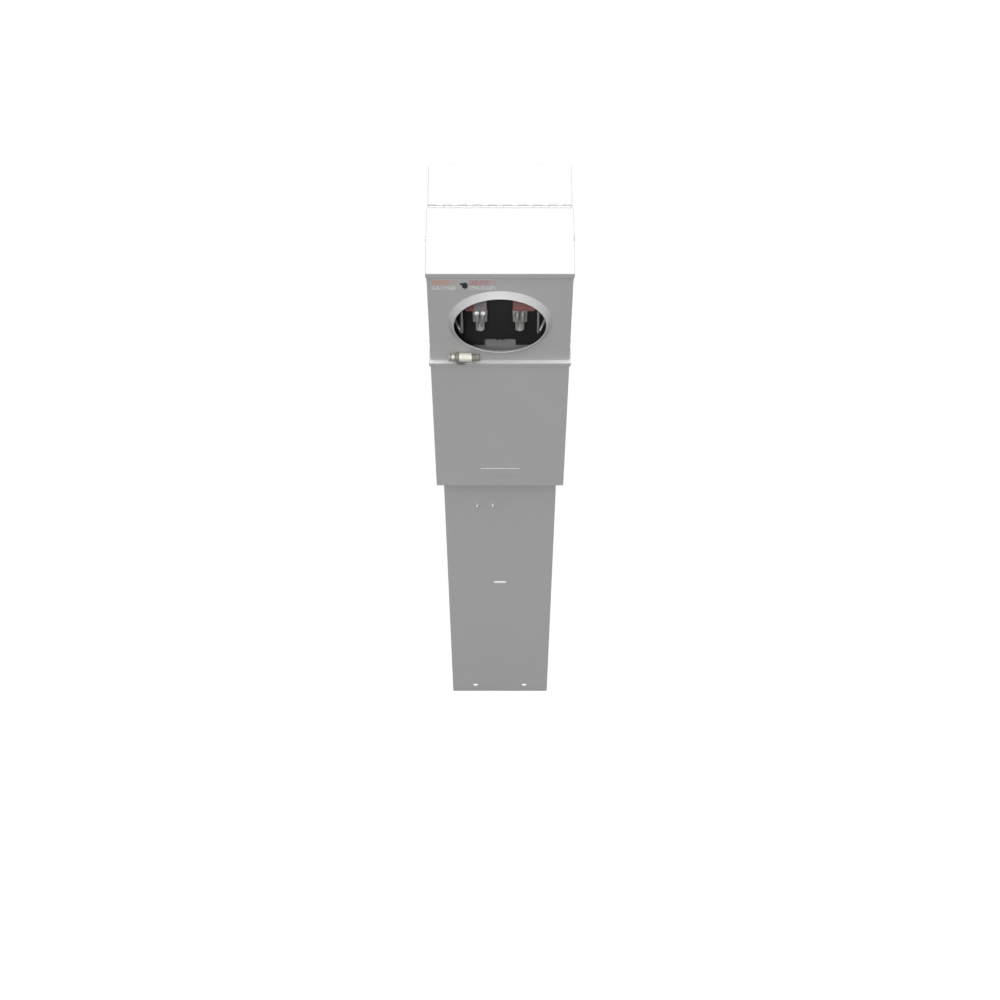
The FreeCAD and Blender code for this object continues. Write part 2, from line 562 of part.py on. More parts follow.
def mirrored(shape, left, upper):
    """A copy for the left side, the upper row, or both, mirrored about the ring's centre."""
    copy = shape.copy()
    if left:
        copy = copy.mirror(V(0, 0, RING_Z), X_AXIS)
    if upper:
        copy = copy.mirror(V(0, 0, RING_Z), Z_AXIS)
    return copy


def make_socket_plates():
    """The insulating plate with its notch, the pan behind it and the four standoffs to the divider."""
    plate = rounded_plate(-BASE_HALF, BASE_HALF, BASE_FACE_Y, PAN_FACE_Y, *BASE_Z, 4.0)
    notch = block(-NOTCH_HALF, NOTCH_HALF, -FAR, FAR, BASE_Z[0] - 1, NOTCH_TOP_Z)
    notch = round_edges(notch, 5.0, lambda middle, way: abs(way.y) > 0.99 and middle.z > NOTCH_TOP_Z - 1)
    plate = plate.cut(notch)
    plate = plate.fuse(block(-7, -2, BASE_FACE_Y, PAN_FACE_Y, NOTCH_TOP_Z - 3, NOTCH_TOP_Z + 1))
    plate = plate.fuse(block(2, 7, BASE_FACE_Y, PAN_FACE_Y, NOTCH_TOP_Z - 3, NOTCH_TOP_Z + 1))
    pan = rounded_plate(-PAN_HALF, PAN_HALF, PAN_FACE_Y, PAN_FACE_Y + SHEET, *PAN_Z, 3.0)
    for side in (-1, 1):
        x0, x1 = sorted((side * (PAN_HALF - SHEET), side * PAN_HALF))
        pan = pan.fuse(block(x0, x1, PAN_FACE_Y + 1, PAN_FACE_Y + 14, PAN_Z[0] + 4, PAN_Z[1] - 4))
        centre = side * JAW_X
        window = 11.0
        pan = pan.cut(block(centre - window, centre + window, -FAR, FAR, BUSBAR_Z - 8, BUSBAR_Z + 8))
        slot = BUSBAR_HALF + 0.2
        plate = plate.cut(block(centre - slot, centre + slot, -FAR, FAR,
                                BUSBAR_Z - BUSBAR_THICK / 2 - 0.2, BUSBAR_Z + BUSBAR_THICK / 2 + 0.2))
    save("socket_base", plate.removeSplitter())
    save("socket_pan", pan.removeSplitter())
    standoffs = []
    for side in (-1, 1):
        for z in STANDOFF_Z:
            start = (side * STANDOFF_X, PAN_FACE_Y + SHEET, z)
            standoffs.append(rod(start, Y_AXIS, 6.0, DIVIDER_Y - start[1]))
    save("pan_standoffs", *standoffs)


def one_jaw():
    """The lower right jaw: a base block and two leaves that pinch a meter blade and flare at the front."""
    centre_z = RING_Z - JAW_Z
    z0 = centre_z - JAW_HALF_HEIGHT
    z1 = centre_z + JAW_HALF_HEIGHT
    jaw = block(JAW_X - JAW_HALF_WIDTH, JAW_X + JAW_HALF_WIDTH, JAW_BACK_Y, BASE_FACE_Y, z0, z1)
    back = JAW_BACK_Y + 0.5
    outline = [(8.5, back), (12.0, back), (12.0, JAW_BACK_Y - 4.5), (5.0, JAW_BACK_Y - 9.5),
               (12.4, JAW_BACK_Y - 17.0), (10.0, JAW_BACK_Y - 18.4), (1.3, JAW_BACK_Y - 10.2),
               (1.3, JAW_BACK_Y - 8.8), (8.5, JAW_BACK_Y - 3.6)]
    for side in (-1, 1):
        leaf = plan_prism([(JAW_X + side * x, y) for x, y in outline], z0 + 1.0, z1)
        jaw = jaw.fuse(leaf)
    return jaw.removeSplitter()


def one_spring_pair():
    """Two steel leaves that press the lower right jaw's leaves together."""
    centre_z = RING_Z - JAW_Z
    outline = [(12.4, JAW_BACK_Y), (13.5, JAW_BACK_Y), (13.5, JAW_BACK_Y - 5.0), (7.2, JAW_BACK_Y - 9.7),
               (6.4, JAW_BACK_Y - 8.9), (12.4, JAW_BACK_Y - 4.7)]
    leaves = []
    for side in (-1, 1):
        leaves.append(plan_prism([(JAW_X + side * x, y) for x, y in outline], centre_z - 6, centre_z + 6))
    return leaves


def one_lug():
    """The lower right lug: a trough with a rounded end below the jaw, raised at its rim."""
    wall = 2.4
    front_y = BASE_FACE_Y - 17.0
    floor_y = BASE_FACE_Y - 4.5
    end_z = RING_Z - LUG_Z
    top = RING_Z - JAW_Z - JAW_HALF_HEIGHT

    def trough(radius, y0, y1, z1):
        round_end = rod((JAW_X, y0, end_z), Y_AXIS, radius, y1 - y0)
        return round_end.fuse(block(JAW_X - radius, JAW_X + radius, y0, y1, end_z, z1))

    lug = trough(LUG_HALF, front_y, BASE_FACE_Y, top)
    return lug.cut(trough(LUG_HALF - wall, front_y - 1, floor_y, top + 1)).removeSplitter()


def one_lug_screw():
    """The hexagon socket screw in the floor of the lower right lug."""
    end_z = RING_Z - LUG_Z
    floor_y = BASE_FACE_Y - 4.5
    screw = rod((JAW_X, floor_y - 7.5, end_z + 4), Y_AXIS, 4.4, 7.5)
    socket = hexagon((JAW_X, floor_y - 7.6, end_z + 4), Y_AXIS, 4.6, 3.6)
    return screw.cut(socket)


def make_jaws_and_lugs():
    """All four jaws with their springs, lugs and lug screws, by mirroring the lower right set."""
    jaw = one_jaw()
    lug = one_lug()
    screw = one_lug_screw()
    springs = []
    screws = []
    for upper, name in ((False, "load"), (True, "line")):
        save(name + "_jaws", mirrored(jaw, True, upper), mirrored(jaw, False, upper))
        save(name + "_lugs", mirrored(lug, True, upper), mirrored(lug, False, upper))
        for left in (True, False):
            screws.append(mirrored(screw, left, upper))
            for leaf in one_spring_pair():
                springs.append(mirrored(leaf, left, upper))
    save("jaw_springs", *springs)
    save("lug_screws", *screws)


def make_barriers():
    """The red insulating blocks between the lower and upper jaws, and the steel clip on the left one."""
    blocks = []
    front_y = BASE_FACE_Y - 18.5
    z0 = RING_Z - JAW_Z + JAW_HALF_HEIGHT + 1.5
    z1 = 2 * RING_Z - z0
    for side in (-1, 1):
        x0, x1 = sorted((side * 23.0, side * 64.0))
        barrier = block(x0, x1, front_y, BASE_FACE_Y, z0, z1)
        barrier = round_edges(barrier, 3.0, lambda middle, way: upright(way) and middle.y < BASE_FACE_Y - 1)
        for index in range(3):
            z = z0 + 9.0 + 14.0 * index
            barrier = barrier.cut(block(x0 - 1, x1 + 1, front_y - 1, front_y + 2.0, z, z + 5.0))
        blocks.append(barrier)
    save("jaw_barriers", *blocks)
    save("barrier_clip", rounded_plate(-46.8, -23.8, front_y - 1.2, front_y, z0 + 0.5, z0 + 34, 2.0))


def make_guides():
    """Bent wire guides left and right of the jaws that centre the meter."""
    wire_r = 2.0
    reach = 29.5
    foot = 65.0
    front = BASE_FACE_Y - reach
    bend = foot + 22.0
    wires = []
    for side in (-1, 1):
        points = [(side * 86, BASE_FACE_Y, RING_Z - foot), (side * 69, front, RING_Z - bend),
                  (side * 69, front, RING_Z + bend), (side * 86, BASE_FACE_Y, RING_Z + foot)]
        wire = None
        for start, end in zip(points, points[1:]):
            run = V(*end) - V(*start)
            tube = rod(start, run, wire_r, run.Length)
            wire = tube if wire is None else wire.fuse(tube)
        for point in points[1:-1]:
            wire = wire.fuse(Part.makeSphere(wire_r, V(*point)))
        wires.append(wire.cut(block(-FAR, FAR, BASE_FACE_Y, FAR, 0, FAR * 5)))
    save("meter_guides", *wires)


def make_divider():
    """The wall between the meter side and the outlet side, with a floor under the outlet side."""
    half = HOUSING_HALF - SHEET - 0.2
    floor_z = STEP_Z + 4
    divider = block(-half, half, DIVIDER_Y, DIVIDER_Y + SHEET, floor_z, HEIGHT - 6)
    divider = divider.fuse(block(-half, half, DIVIDER_Y, HOUSING_LOW_REAR_Y - 2.5, floor_z, floor_z + SHEET))
    window = block(-50, 50, DIVIDER_Y - 1, DIVIDER_Y + SHEET + 1, BUSBAR_Z - 14, BUSBAR_Z + 14)
    save("divider_panel", divider.cut(window).removeSplitter())

    insulator = block(-49.8, 49.8, DIVIDER_Y, DIVIDER_Y + 5, BUSBAR_Z - 13.8, BUSBAR_Z + 13.8)
    insulator = insulator.fuse(block(-56, 56, DIVIDER_Y - 3, DIVIDER_Y, BUSBAR_Z - 20, BUSBAR_Z + 20))
    for side in (-1, 1):
        slot = BUSBAR_HALF + 0.2
        centre = side * JAW_X
        insulator = insulator.cut(block(centre - slot, centre + slot, -FAR, FAR,
                                        BUSBAR_Z - BUSBAR_THICK / 2 - 0.2, BUSBAR_Z + BUSBAR_THICK / 2 + 0.2))
    save("bus_insulator", insulator.removeSplitter())


def make_busbars():
    """Flat bars from the lower jaws back through the divider and up to the main breaker."""
    bars = []
    z0 = BUSBAR_Z - BUSBAR_THICK / 2
    z1 = BUSBAR_Z + BUSBAR_THICK / 2
    top = BREAKER_Z - BREAKER_HEIGHT / 2
    for side in (-1, 1):
        x0, x1 = sorted((side * (JAW_X - BUSBAR_HALF), side * (JAW_X + BUSBAR_HALF)))
        bar = block(x0, x1, BASE_FACE_Y, BUSBAR_BACK_Y, z0, z1)
        x0, x1 = sorted((side * RISER_X[0], side * (JAW_X + BUSBAR_HALF)))
        bar = bar.fuse(block(x0, x1, BUSBAR_BACK_Y - BUSBAR_THICK, BUSBAR_BACK_Y, z0, z0 + 14))
        x0, x1 = sorted((side * RISER_X[0], side * RISER_X[1]))
        bar = bar.fuse(block(x0, x1, BUSBAR_BACK_Y - BUSBAR_THICK, BUSBAR_BACK_Y, z0, top))
        bars.append(bar.removeSplitter())
    save("load_busbars", *bars)


# ---------------------------------------------------------------- breakers
BREAKER_BACK_Y = 30.0
SHOULDER_Y = 75.5
NOSE_Y = 84.0
NOSE_HALF_HEIGHT = 27.0
POCKET_HALF_WIDTH = 4.6
TOGGLE_HALF_WIDTH = 3.9
BREAKERS = (("ev", EV_X, 2), ("main", MAIN_X, 2), ("outlet", BRANCH_X, 1))


def pole_centres(centre, poles):
    return [centre + POLE * (index - (poles - 1) / 2) for index in range(poles)]


def make_breaker(name, centre, poles):
    """A moulded case with a raised nose and a pocket for each pole, and its toggle."""
    half = POLE * poles / 2 - 0.2
    z0 = BREAKER_Z - BREAKER_HEIGHT / 2
    case = block(centre - half, centre + half, BREAKER_BACK_Y, SHOULDER_Y, z0, z0 + BREAKER_HEIGHT)
    nose = block(centre - half, centre + half, SHOULDER_Y - 1, NOSE_Y,
                 BREAKER_Z - NOSE_HALF_HEIGHT, BREAKER_Z + NOSE_HALF_HEIGHT)
    nose = round_edges(nose, 1.5, lambda middle, way: near(middle.y, NOSE_Y))
    case = case.fuse(nose)
    toggle = None
    tip = TOGGLE_Y + 20.0
    for x in pole_centres(centre, poles):
        case = case.cut(block(x - POCKET_HALF_WIDTH, x + POCKET_HALF_WIDTH, TOGGLE_Y - 7, NOSE_Y + 1,
                              BREAKER_Z - 12, BREAKER_Z + 12))
        drum = rod((x - TOGGLE_HALF_WIDTH, TOGGLE_Y, BREAKER_Z), X_AXIS, 5.0, 2 * TOGGLE_HALF_WIDTH)
        outline = [(TOGGLE_Y, BREAKER_Z - 4.0), (tip, BREAKER_Z - 2.6), (tip, BREAKER_Z + 2.6),
                   (TOGGLE_Y, BREAKER_Z + 4.0)]
        lever = side_prism(outline, x - TOGGLE_HALF_WIDTH, x + TOGGLE_HALF_WIDTH)
        lever = round_edges(lever, 1.2, lambda middle, way: near(middle.y, tip))
        lever = drum.fuse(lever)
        toggle = lever if toggle is None else toggle.fuse(lever)
    if poles > 1:
        reach = POLE / 2 + TOGGLE_HALF_WIDTH
        tie = block(centre - reach, centre + reach, tip - 6.5, tip - 1.5, BREAKER_Z - 2.6, BREAKER_Z + 2.6)
        toggle = toggle.fuse(tie)
    toggle = toggle.removeSplitter()
    toggle.rotate(V(0, TOGGLE_Y, BREAKER_Z), X_AXIS, TOGGLE_TILT)
    save(name + "_breaker", case.removeSplitter())
    save(name + "_toggle", toggle)


def make_breakers():
    for name, centre, poles in BREAKERS:
        make_breaker(name, centre, poles)
    rail = block(-105, 105, BREAKER_BACK_Y - SHEET, BREAKER_BACK_Y, BREAKER_Z - 15, BREAKER_Z + 15)
    for z in (BREAKER_Z - 15, BREAKER_Z + 15 - SHEET):
        rail = rail.fuse(block(-105, 105, DIVIDER_Y + SHEET, BREAKER_BACK_Y - 1, z, z + SHEET))
    save("breaker_rail", rail.removeSplitter())


def make_supply_links():
    """Two comb bars over the breakers that feed the branches from the main breaker's load side."""
    top = BREAKER_Z + BREAKER_HEIGHT / 2
    ev_poles = pole_centres(EV_X, 2)
    main_poles = pole_centres(MAIN_X, 2)
    combs = ((38.0, (ev_poles[0], main_poles[0])), (52.0, (ev_poles[1], main_poles[1], BRANCH_X)))
    links = []
    tooth = 4.0
    for y, poles in combs:
        link = block(min(poles) - tooth, max(poles) + tooth, y, y + 3, top + 5, top + 13)
        for x in poles:
            link = link.fuse(block(x - tooth, x + tooth, y, y + 3, top, top + 6))
        links.append(link.removeSplitter())
    save("supply_links", *links)


# ---------------------------------------------------------------- receptacles
EV_HALF = 24.0
EV_BACK_Y = 42.0
PLATE_THICK = 2.0
PLATE_BACK_Y = PANEL_Y + SHEET
FACE_Y = PLATE_BACK_Y + PLATE_THICK + 3.0
EV_FACE_R = 25.0
DUPLEX_HALF = 17.0
DUPLEX_HEIGHT = 35.0
BUTTON_HALF = 6.5
BUTTON_HEIGHT = 5.4
BUTTON_GAP_Z = 4.2
BUTTON_OUT = 2.0
PLATE_SCREW_Z = 48.0


def slot_cut(x, z, half_x, half_z, depth):
    return block(x - half_x, x + half_x, FACE_Y - depth, FACE_Y + 1, z - half_z, z + half_z)


def make_ev_receptacle():
    """The four-slot receptacle: a body behind the panel, and a round face with its slots."""
    body = block(EV_X - EV_HALF, EV_X + EV_HALF, EV_BACK_Y, PANEL_Y - 0.5,
                 OUTLET_Z - EV_HALF, OUTLET_Z + EV_HALF)
    body = round_edges(body, 3.0, lambda middle, way: abs(way.y) > 0.99)
    face = rod((EV_X, PANEL_Y - 1, OUTLET_Z), Y_AXIS, EV_FACE_R - 2.0, FACE_Y - PANEL_Y + 1)
    face = round_edges(face, 1.0, lambda middle, way: near(middle.y, FACE_Y))
    body = body.fuse(face)
    depth = 16.0
    for side in (-1, 1):
        body = body.cut(slot_cut(EV_X + side * 9.5, OUTLET_Z, 1.4, 7.5, depth))
    body = body.cut(slot_cut(EV_X, OUTLET_Z + 12.5, 6.5, 1.4, depth))
    body = body.cut(rod((EV_X, FACE_Y - depth, OUTLET_Z - 12.5), Y_AXIS, 3.0, depth + 1))
    save("ev_receptacle", body.removeSplitter())


def make_duplex_receptacle():
    """Two household outlets with a test and a reset button between them."""
    body = block(DUPLEX_X - DUPLEX_HALF, DUPLEX_X + DUPLEX_HALF, EV_BACK_Y, FACE_Y,
                 OUTLET_Z - DUPLEX_HEIGHT, OUTLET_Z + DUPLEX_HEIGHT)
    body = round_edges(body, 2.0, lambda middle, way: abs(way.y) > 0.99)
    body = round_edges(body, 0.8, lambda middle, way: near(middle.y, FACE_Y))
    depth = 14.0
    for side in (-1, 1):
        z = OUTLET_Z + side * 21.0
        body = body.cut(slot_cut(DUPLEX_X - 6.4, z + 2, 1.1, 4.2, depth))
        body = body.cut(slot_cut(DUPLEX_X + 6.4, z + 2, 1.1, 3.4, depth))
        body = body.cut(rod((DUPLEX_X, FACE_Y - depth, z - 6.5), Y_AXIS, 2.4, depth + 1))
    room = 0.35
    for side, name in ((1, "test"), (-1, "reset")):
        z = OUTLET_Z + side * BUTTON_GAP_Z
        half = BUTTON_HEIGHT / 2
        body = body.cut(slot_cut(DUPLEX_X, z, BUTTON_HALF + room, half + room, 6.0))
        button = block(DUPLEX_X - BUTTON_HALF, DUPLEX_X + BUTTON_HALF, FACE_Y - 4.0, FACE_Y + BUTTON_OUT,
                       z - half, z + half)
        button = round_edges(button, 0.7, lambda middle, way: near(middle.y, FACE_Y + BUTTON_OUT))
        save(name + "_button", button)
    save("duplex_receptacle", body.removeSplitter())


def make_faceplates():
    """The two steel plates around the receptacles and their screws."""
    half_x = 35.0
    half_z = 57.0
    room = 0.2
    plates = []
    screws = []
    for centre in (EV_X, DUPLEX_X):
        plate = rounded_plate(centre - half_x, centre + half_x, PLATE_BACK_Y, PLATE_BACK_Y + PLATE_THICK,
                              OUTLET_Z - half_z, OUTLET_Z + half_z, 4.0)
        plate = round_edges(plate, 1.0, lambda middle, way: near(middle.y, PLATE_BACK_Y + PLATE_THICK))
        if centre == EV_X:
            plate = plate.cut(rod((centre, 0, OUTLET_Z), Y_AXIS, EV_FACE_R - 2.0 + room, FAR))
        else:
            plate = plate.cut(block(centre - DUPLEX_HALF - room, centre + DUPLEX_HALF + room, 0, FAR,
                                    OUTLET_Z - DUPLEX_HEIGHT - room, OUTLET_Z + DUPLEX_HEIGHT + room))
        for side in (-1, 1):
            point = (centre, PLATE_BACK_Y + PLATE_THICK, OUTLET_Z + side * PLATE_SCREW_Z)
            plate = plate.cut(rod((centre, 0, point[2]), Y_AXIS, 1.9, FAR))
            screws.append(pan_screw(point, Y_AXIS, 3.4, 1.7, 1.8, 8.0))
        plates.append(plate)
    save("receptacle_plates", *plates)
    save("plate_screws", *screws)


def make_outlet_panel():
    """The dead front: a plate with windows for the breaker noses and the receptacles."""
    half = HOUSING_HALF - SHEET - 1.0
    panel = block(-half, half, PANEL_Y, PANEL_Y + SHEET, *PANEL_Z)
    room = 0.6
    x0 = EV_X - POLE - room
    x1 = BRANCH_X + POLE / 2 + room
    reach = NOSE_HALF_HEIGHT + room
    panel = panel.cut(block(x0, x1, 0, FAR, BREAKER_Z - reach, BREAKER_Z + reach))
    panel = panel.cut(rod((EV_X, 0, OUTLET_Z), Y_AXIS, EV_FACE_R - 2.0 + room, FAR))
    panel = panel.cut(block(DUPLEX_X - DUPLEX_HALF - room, DUPLEX_X + DUPLEX_HALF + room, 0, FAR,
                            OUTLET_Z - DUPLEX_HEIGHT - room, OUTLET_Z + DUPLEX_HEIGHT + room))
    for centre in (EV_X, DUPLEX_X):
        for side in (-1, 1):
            panel = panel.cut(rod((centre, 0, OUTLET_Z + side * PLATE_SCREW_Z), Y_AXIS, 1.9, FAR))
    for side in (-1, 1):
        for z in PANEL_SCREW_Z:
            panel = panel.cut(rod((side * PANEL_SCREW_X, 0, z), Y_AXIS, COVER_SCREW_R + HOLE_GAP, FAR))
    save("outlet_panel", panel)


NEUTRAL_Z = (1360.0, 1372.0)
NEUTRAL_Y = (38.0, 48.0)
WIRE_R = 2.6


def make_wiring():
    """Branch wires from the breakers down to the receptacles, and neutral wires down to the neutral bar."""
    bottom = BREAKER_Z - BREAKER_HEIGHT / 2
    wires = []
    y = 60.0
    for x in pole_centres(EV_X, 2):
        wires.append(rod((x, y, OUTLET_Z + EV_HALF), Z_AXIS, WIRE_R, bottom - OUTLET_Z - EV_HALF))
    top = OUTLET_Z + DUPLEX_HEIGHT
    wires.append(rod((BRANCH_X, y, top), Z_AXIS, WIRE_R, bottom - top))
    save("branch_wires", *wires)

    bar = block(-70, 70, *NEUTRAL_Y, *NEUTRAL_Z)
    hole_count = 7
    for index in range(hole_count):
        x = -42.0 + 14.0 * index
        bar = bar.cut(rod((x, NEUTRAL_Y[0] - 1, sum(NEUTRAL_Z) / 2), Y_AXIS, 2.6, 20))
    save("neutral_bar", bar)
    floor_top = STEP_Z + 4 + SHEET
    feet = [block(x - 8, x + 8, *NEUTRAL_Y, floor_top, NEUTRAL_Z[0]) for x in (-60, 60)]
    save("neutral_feet", *feet)
    y = EV_BACK_Y + 3.0
    returns = []
    for x, start in ((EV_X, OUTLET_Z - EV_HALF), (DUPLEX_X, OUTLET_Z - DUPLEX_HEIGHT)):
        returns.append(rod((x, y, NEUTRAL_Z[1]), Z_AXIS, WIRE_R, start - NEUTRAL_Z[1]))
    save("neutral_wires", *returns)


# ---------------------------------------------------------------- rear lid
LID_WALL = 1.7


def knuckle_spans(moving):
    """The X ranges of the moving or the fixed hinge knuckles, which alternate."""
    pitch = (2 * HINGE_HALF + KNUCKLE_GAP) / KNUCKLE_COUNT
    spans = []
    for index in range(KNUCKLE_COUNT):
        if (index % 2 == 1) == moving:
            start = index * pitch - HINGE_HALF
            spans.append((start, start + pitch - KNUCKLE_GAP))
    return spans


def knuckle(x0, x1):
    return rod((x0, HINGE_Y, HINGE_Z), X_AXIS, KNUCKLE_R, x1 - x0)


def make_rear_lid():
    """The hood over the outlets: top, back and two sides, rolled into hinge knuckles along its front edge."""
    bottom = 1390.0
    lid = block(-COVER_HALF, COVER_HALF, HINGE_Y, LID_REAR_Y, bottom, HEIGHT)
    lid = round_edges(lid, BEND, lambda middle, way: upright(way) and middle.y > LID_REAR_Y - 1)
    lid = round_edges(lid, BEND - 0.5, lambda middle, way: near(middle.z, HEIGHT) and middle.y > HINGE_Y + 1)
    lid = lid.cut(block(-COVER_HALF + LID_WALL, COVER_HALF - LID_WALL, 0, LID_REAR_Y - LID_WALL,
                        0, HEIGHT - LID_WALL))
    corner = [(HINGE_Y - 1, bottom - 1), (104, bottom - 1), (HINGE_Y - 1, 1452)]
    lid = lid.cut(side_prism(corner, -FAR, FAR))
    for x0, x1 in knuckle_spans(True):
        lid = lid.fuse(knuckle(x0, x1))
    lid = lid.cut(rod((-COVER_HALF + LID_WALL, HINGE_Y, HINGE_Z), X_AXIS, KNUCKLE_BORE_R,
                      2 * (COVER_HALF - LID_WALL)))
    for x0, x1 in knuckle_spans(False):
        lid = lid.cut(block(x0 - KNUCKLE_GAP, x1 + KNUCKLE_GAP, 0, HINGE_Y + KNUCKLE_R + 0.4,
                            HEIGHT - 20, HEIGHT + 1))
    lid = lid.cut(block(-2.6, 2.6, LID_REAR_Y - 5, LID_REAR_Y + 1, STAPLE_Z[0] - 4.5, STAPLE_Z[1] + 2))
    save("rear_lid", lid.removeSplitter())


def make_hinge():
    """The fixed leaf with its knuckles, the pin and the rivets through leaf, cap and rail."""
    leaf_y = CAP_REAR_Y + 1.2
    half = HOUSING_HALF - SHEET - 0.5
    leaf = block(-half, half, CAP_REAR_Y, leaf_y, RAIL_Z - 2, HINGE_Z - KNUCKLE_R)
    for x0, x1 in knuckle_spans(False):
        leaf = leaf.fuse(knuckle(x0, x1))
        leaf = leaf.fuse(block(x0, x1, CAP_REAR_Y, HINGE_Y - 1, HINGE_Z - KNUCKLE_R + 0.4, HINGE_Z + 0.5))
        x0, x1 = max(x0, -half), min(x1, half)
        leaf = leaf.fuse(block(x0, x1, CAP_REAR_Y, leaf_y, HINGE_Z - KNUCKLE_R - 2, HINGE_Z))
    leaf = leaf.cut(rod((-FAR, HINGE_Y, HINGE_Z), X_AXIS, KNUCKLE_BORE_R, 2 * FAR))
    rivets = []
    for x in RIVET_X:
        leaf = leaf.cut(rod((x, CAP_REAR_Y - 1, RIVET_Z), Y_AXIS, RIVET_R + 0.05, 4))
        rivet = rod((x, RAIL_Y - 1.2, RIVET_Z), Y_AXIS, RIVET_R, leaf_y - RAIL_Y + 2.4)
        rivet = rivet.fuse(rod((x, RAIL_Y - 1.2, RIVET_Z), Y_AXIS, 3.6, 1.2))
        rivets.append(rivet.fuse(rod((x, leaf_y, RIVET_Z), Y_AXIS, 3.6, 1.2)))
    save("lid_hinge_leaf", leaf.removeSplitter())
    save("lid_hinge_pin", rod((-HINGE_HALF, HINGE_Y, HINGE_Z), X_AXIS, HINGE_PIN_R, 2 * HINGE_HALF))
    save("hinge_rivets", *rivets)


def make_staple():
    """The fixed eye for a padlock: a tongue through the sill and through the slot in the closed lid."""
    back = HOUSING_REAR_Y - SHEET
    tip = EYE_Y + EYE_R + 1.2
    eye = (-5, EYE_Y, sum(STAPLE_Z) / 2)
    tongue = block(-1.5, 1.5, back - 2, tip, *STAPLE_Z)
    tongue = round_edges(tongue, 4.0, lambda middle, way: abs(way.x) > 0.99 and middle.y > tip - 1)
    foot = block(-14, 14, back - 2, back, STAPLE_Z[0] - 3, STAPLE_Z[1] + 3)
    save("padlock_staple", tongue.fuse(foot).cut(rod(eye, X_AXIS, EYE_R, 10)).removeSplitter())


make_post_shell()
make_rear_panel()
make_ground_bar()
make_post_mounting()
make_housing()
make_cap()
make_housing_screws()
make_meter_cover()
make_lower_cover()
make_label()
make_latch()
make_latch_keeper()
make_socket_plates()
make_jaws_and_lugs()
make_barriers()
make_guides()
make_divider()
make_busbars()
make_breakers()
make_supply_links()
make_ev_receptacle()
make_duplex_receptacle()
make_faceplates()
make_outlet_panel()
make_wiring()
make_rear_lid()
make_hinge()
make_staple()
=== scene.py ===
import json
import math

import bmesh
import bpy
import numpy as np
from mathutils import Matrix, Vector


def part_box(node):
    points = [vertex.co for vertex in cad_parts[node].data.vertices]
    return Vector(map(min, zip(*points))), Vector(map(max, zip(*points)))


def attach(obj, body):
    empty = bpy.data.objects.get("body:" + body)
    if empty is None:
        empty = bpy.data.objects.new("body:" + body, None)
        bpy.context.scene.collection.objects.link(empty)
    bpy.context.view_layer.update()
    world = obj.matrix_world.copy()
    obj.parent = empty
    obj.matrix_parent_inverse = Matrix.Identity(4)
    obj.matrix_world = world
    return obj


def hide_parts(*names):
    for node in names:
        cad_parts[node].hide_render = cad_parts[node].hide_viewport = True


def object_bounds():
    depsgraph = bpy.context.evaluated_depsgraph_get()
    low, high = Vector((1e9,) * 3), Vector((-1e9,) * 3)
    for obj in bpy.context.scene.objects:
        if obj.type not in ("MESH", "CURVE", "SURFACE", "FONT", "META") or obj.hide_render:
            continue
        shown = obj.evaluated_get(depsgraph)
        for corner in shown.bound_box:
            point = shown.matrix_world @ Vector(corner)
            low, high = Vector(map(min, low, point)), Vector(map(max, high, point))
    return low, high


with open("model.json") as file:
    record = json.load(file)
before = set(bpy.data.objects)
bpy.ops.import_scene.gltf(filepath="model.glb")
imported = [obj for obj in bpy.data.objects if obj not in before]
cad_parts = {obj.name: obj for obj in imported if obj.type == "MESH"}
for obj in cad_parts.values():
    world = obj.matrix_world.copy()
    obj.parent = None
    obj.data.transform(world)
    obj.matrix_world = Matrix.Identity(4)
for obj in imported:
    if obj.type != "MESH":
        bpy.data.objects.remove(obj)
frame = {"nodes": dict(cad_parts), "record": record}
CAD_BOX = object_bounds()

bl_info = {
    "name": "Metered power pedestal",
    "version": (1, 0, 0),
    "blender": (4, 5, 0),
    "location": "3D View > Sidebar > Pedestal",
    "description": "Finishes and fine pieces of a steel power pedestal with a meter ring and a rear lid",
    "category": "Object",
}

# Half sizes of the painted shadow under the latch, a dark ellipsoid where the latch's shade falls on the lip.
LATCH_SHADOW_HALF_SIZE = (0.0120, 0.0080, 0.0065)
WHITE_TO_THE_EYE = 1.02
FLOOR_GREY = 0.11
FLOOR_HALF = 40.0
FLOOR_Z = -0.0005
LAMPS = (
    ("front_light", (-0.09, -0.56, 0.83), 8.0),
    ("side_light", (1.0, 0.25, 0.25), 40.0),
    ("back_light", (-0.5, 1.0, 0.35), 40.0),
)


# ---------------------------------------------------------------- places read from the frame
def centre_of(node):
    """The middle of a node's box."""
    low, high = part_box(node)
    return (low + high) / 2


# ---------------------------------------------------------------- settings
class PedestalPaint(bpy.types.PropertyGroup):
    """Colours and finish of the painted sheet steel."""

    coat: bpy.props.FloatVectorProperty(
        name="Coat", description="Colour of the powder coat", subtype="COLOR", size=3,
        default=(0.42, 0.42, 0.42), min=0.0, max=1.0)
    inner_coat: bpy.props.FloatVectorProperty(
        name="Inner coat", description="Colour of the pan behind the insulating plate", subtype="COLOR",
        size=3, default=(0.40, 0.40, 0.40), min=0.0, max=1.0)
    roughness: bpy.props.FloatProperty(
        name="Roughness", description="Roughness of the powder coat", default=0.46, min=0.0, max=1.0)
    # Weights the edge mask, which lightens folds and edges as wear and as a painted edge highlight.
    wear: bpy.props.FloatProperty(
        name="Edge wear", description="How much the folds and edges are rubbed", subtype="FACTOR",
        default=0.22, min=0.0, max=1.0)
    dust: bpy.props.FloatProperty(
        name="Dust", description="How much dust lies low on the post", subtype="FACTOR",
        default=0.10, min=0.0, max=1.0)


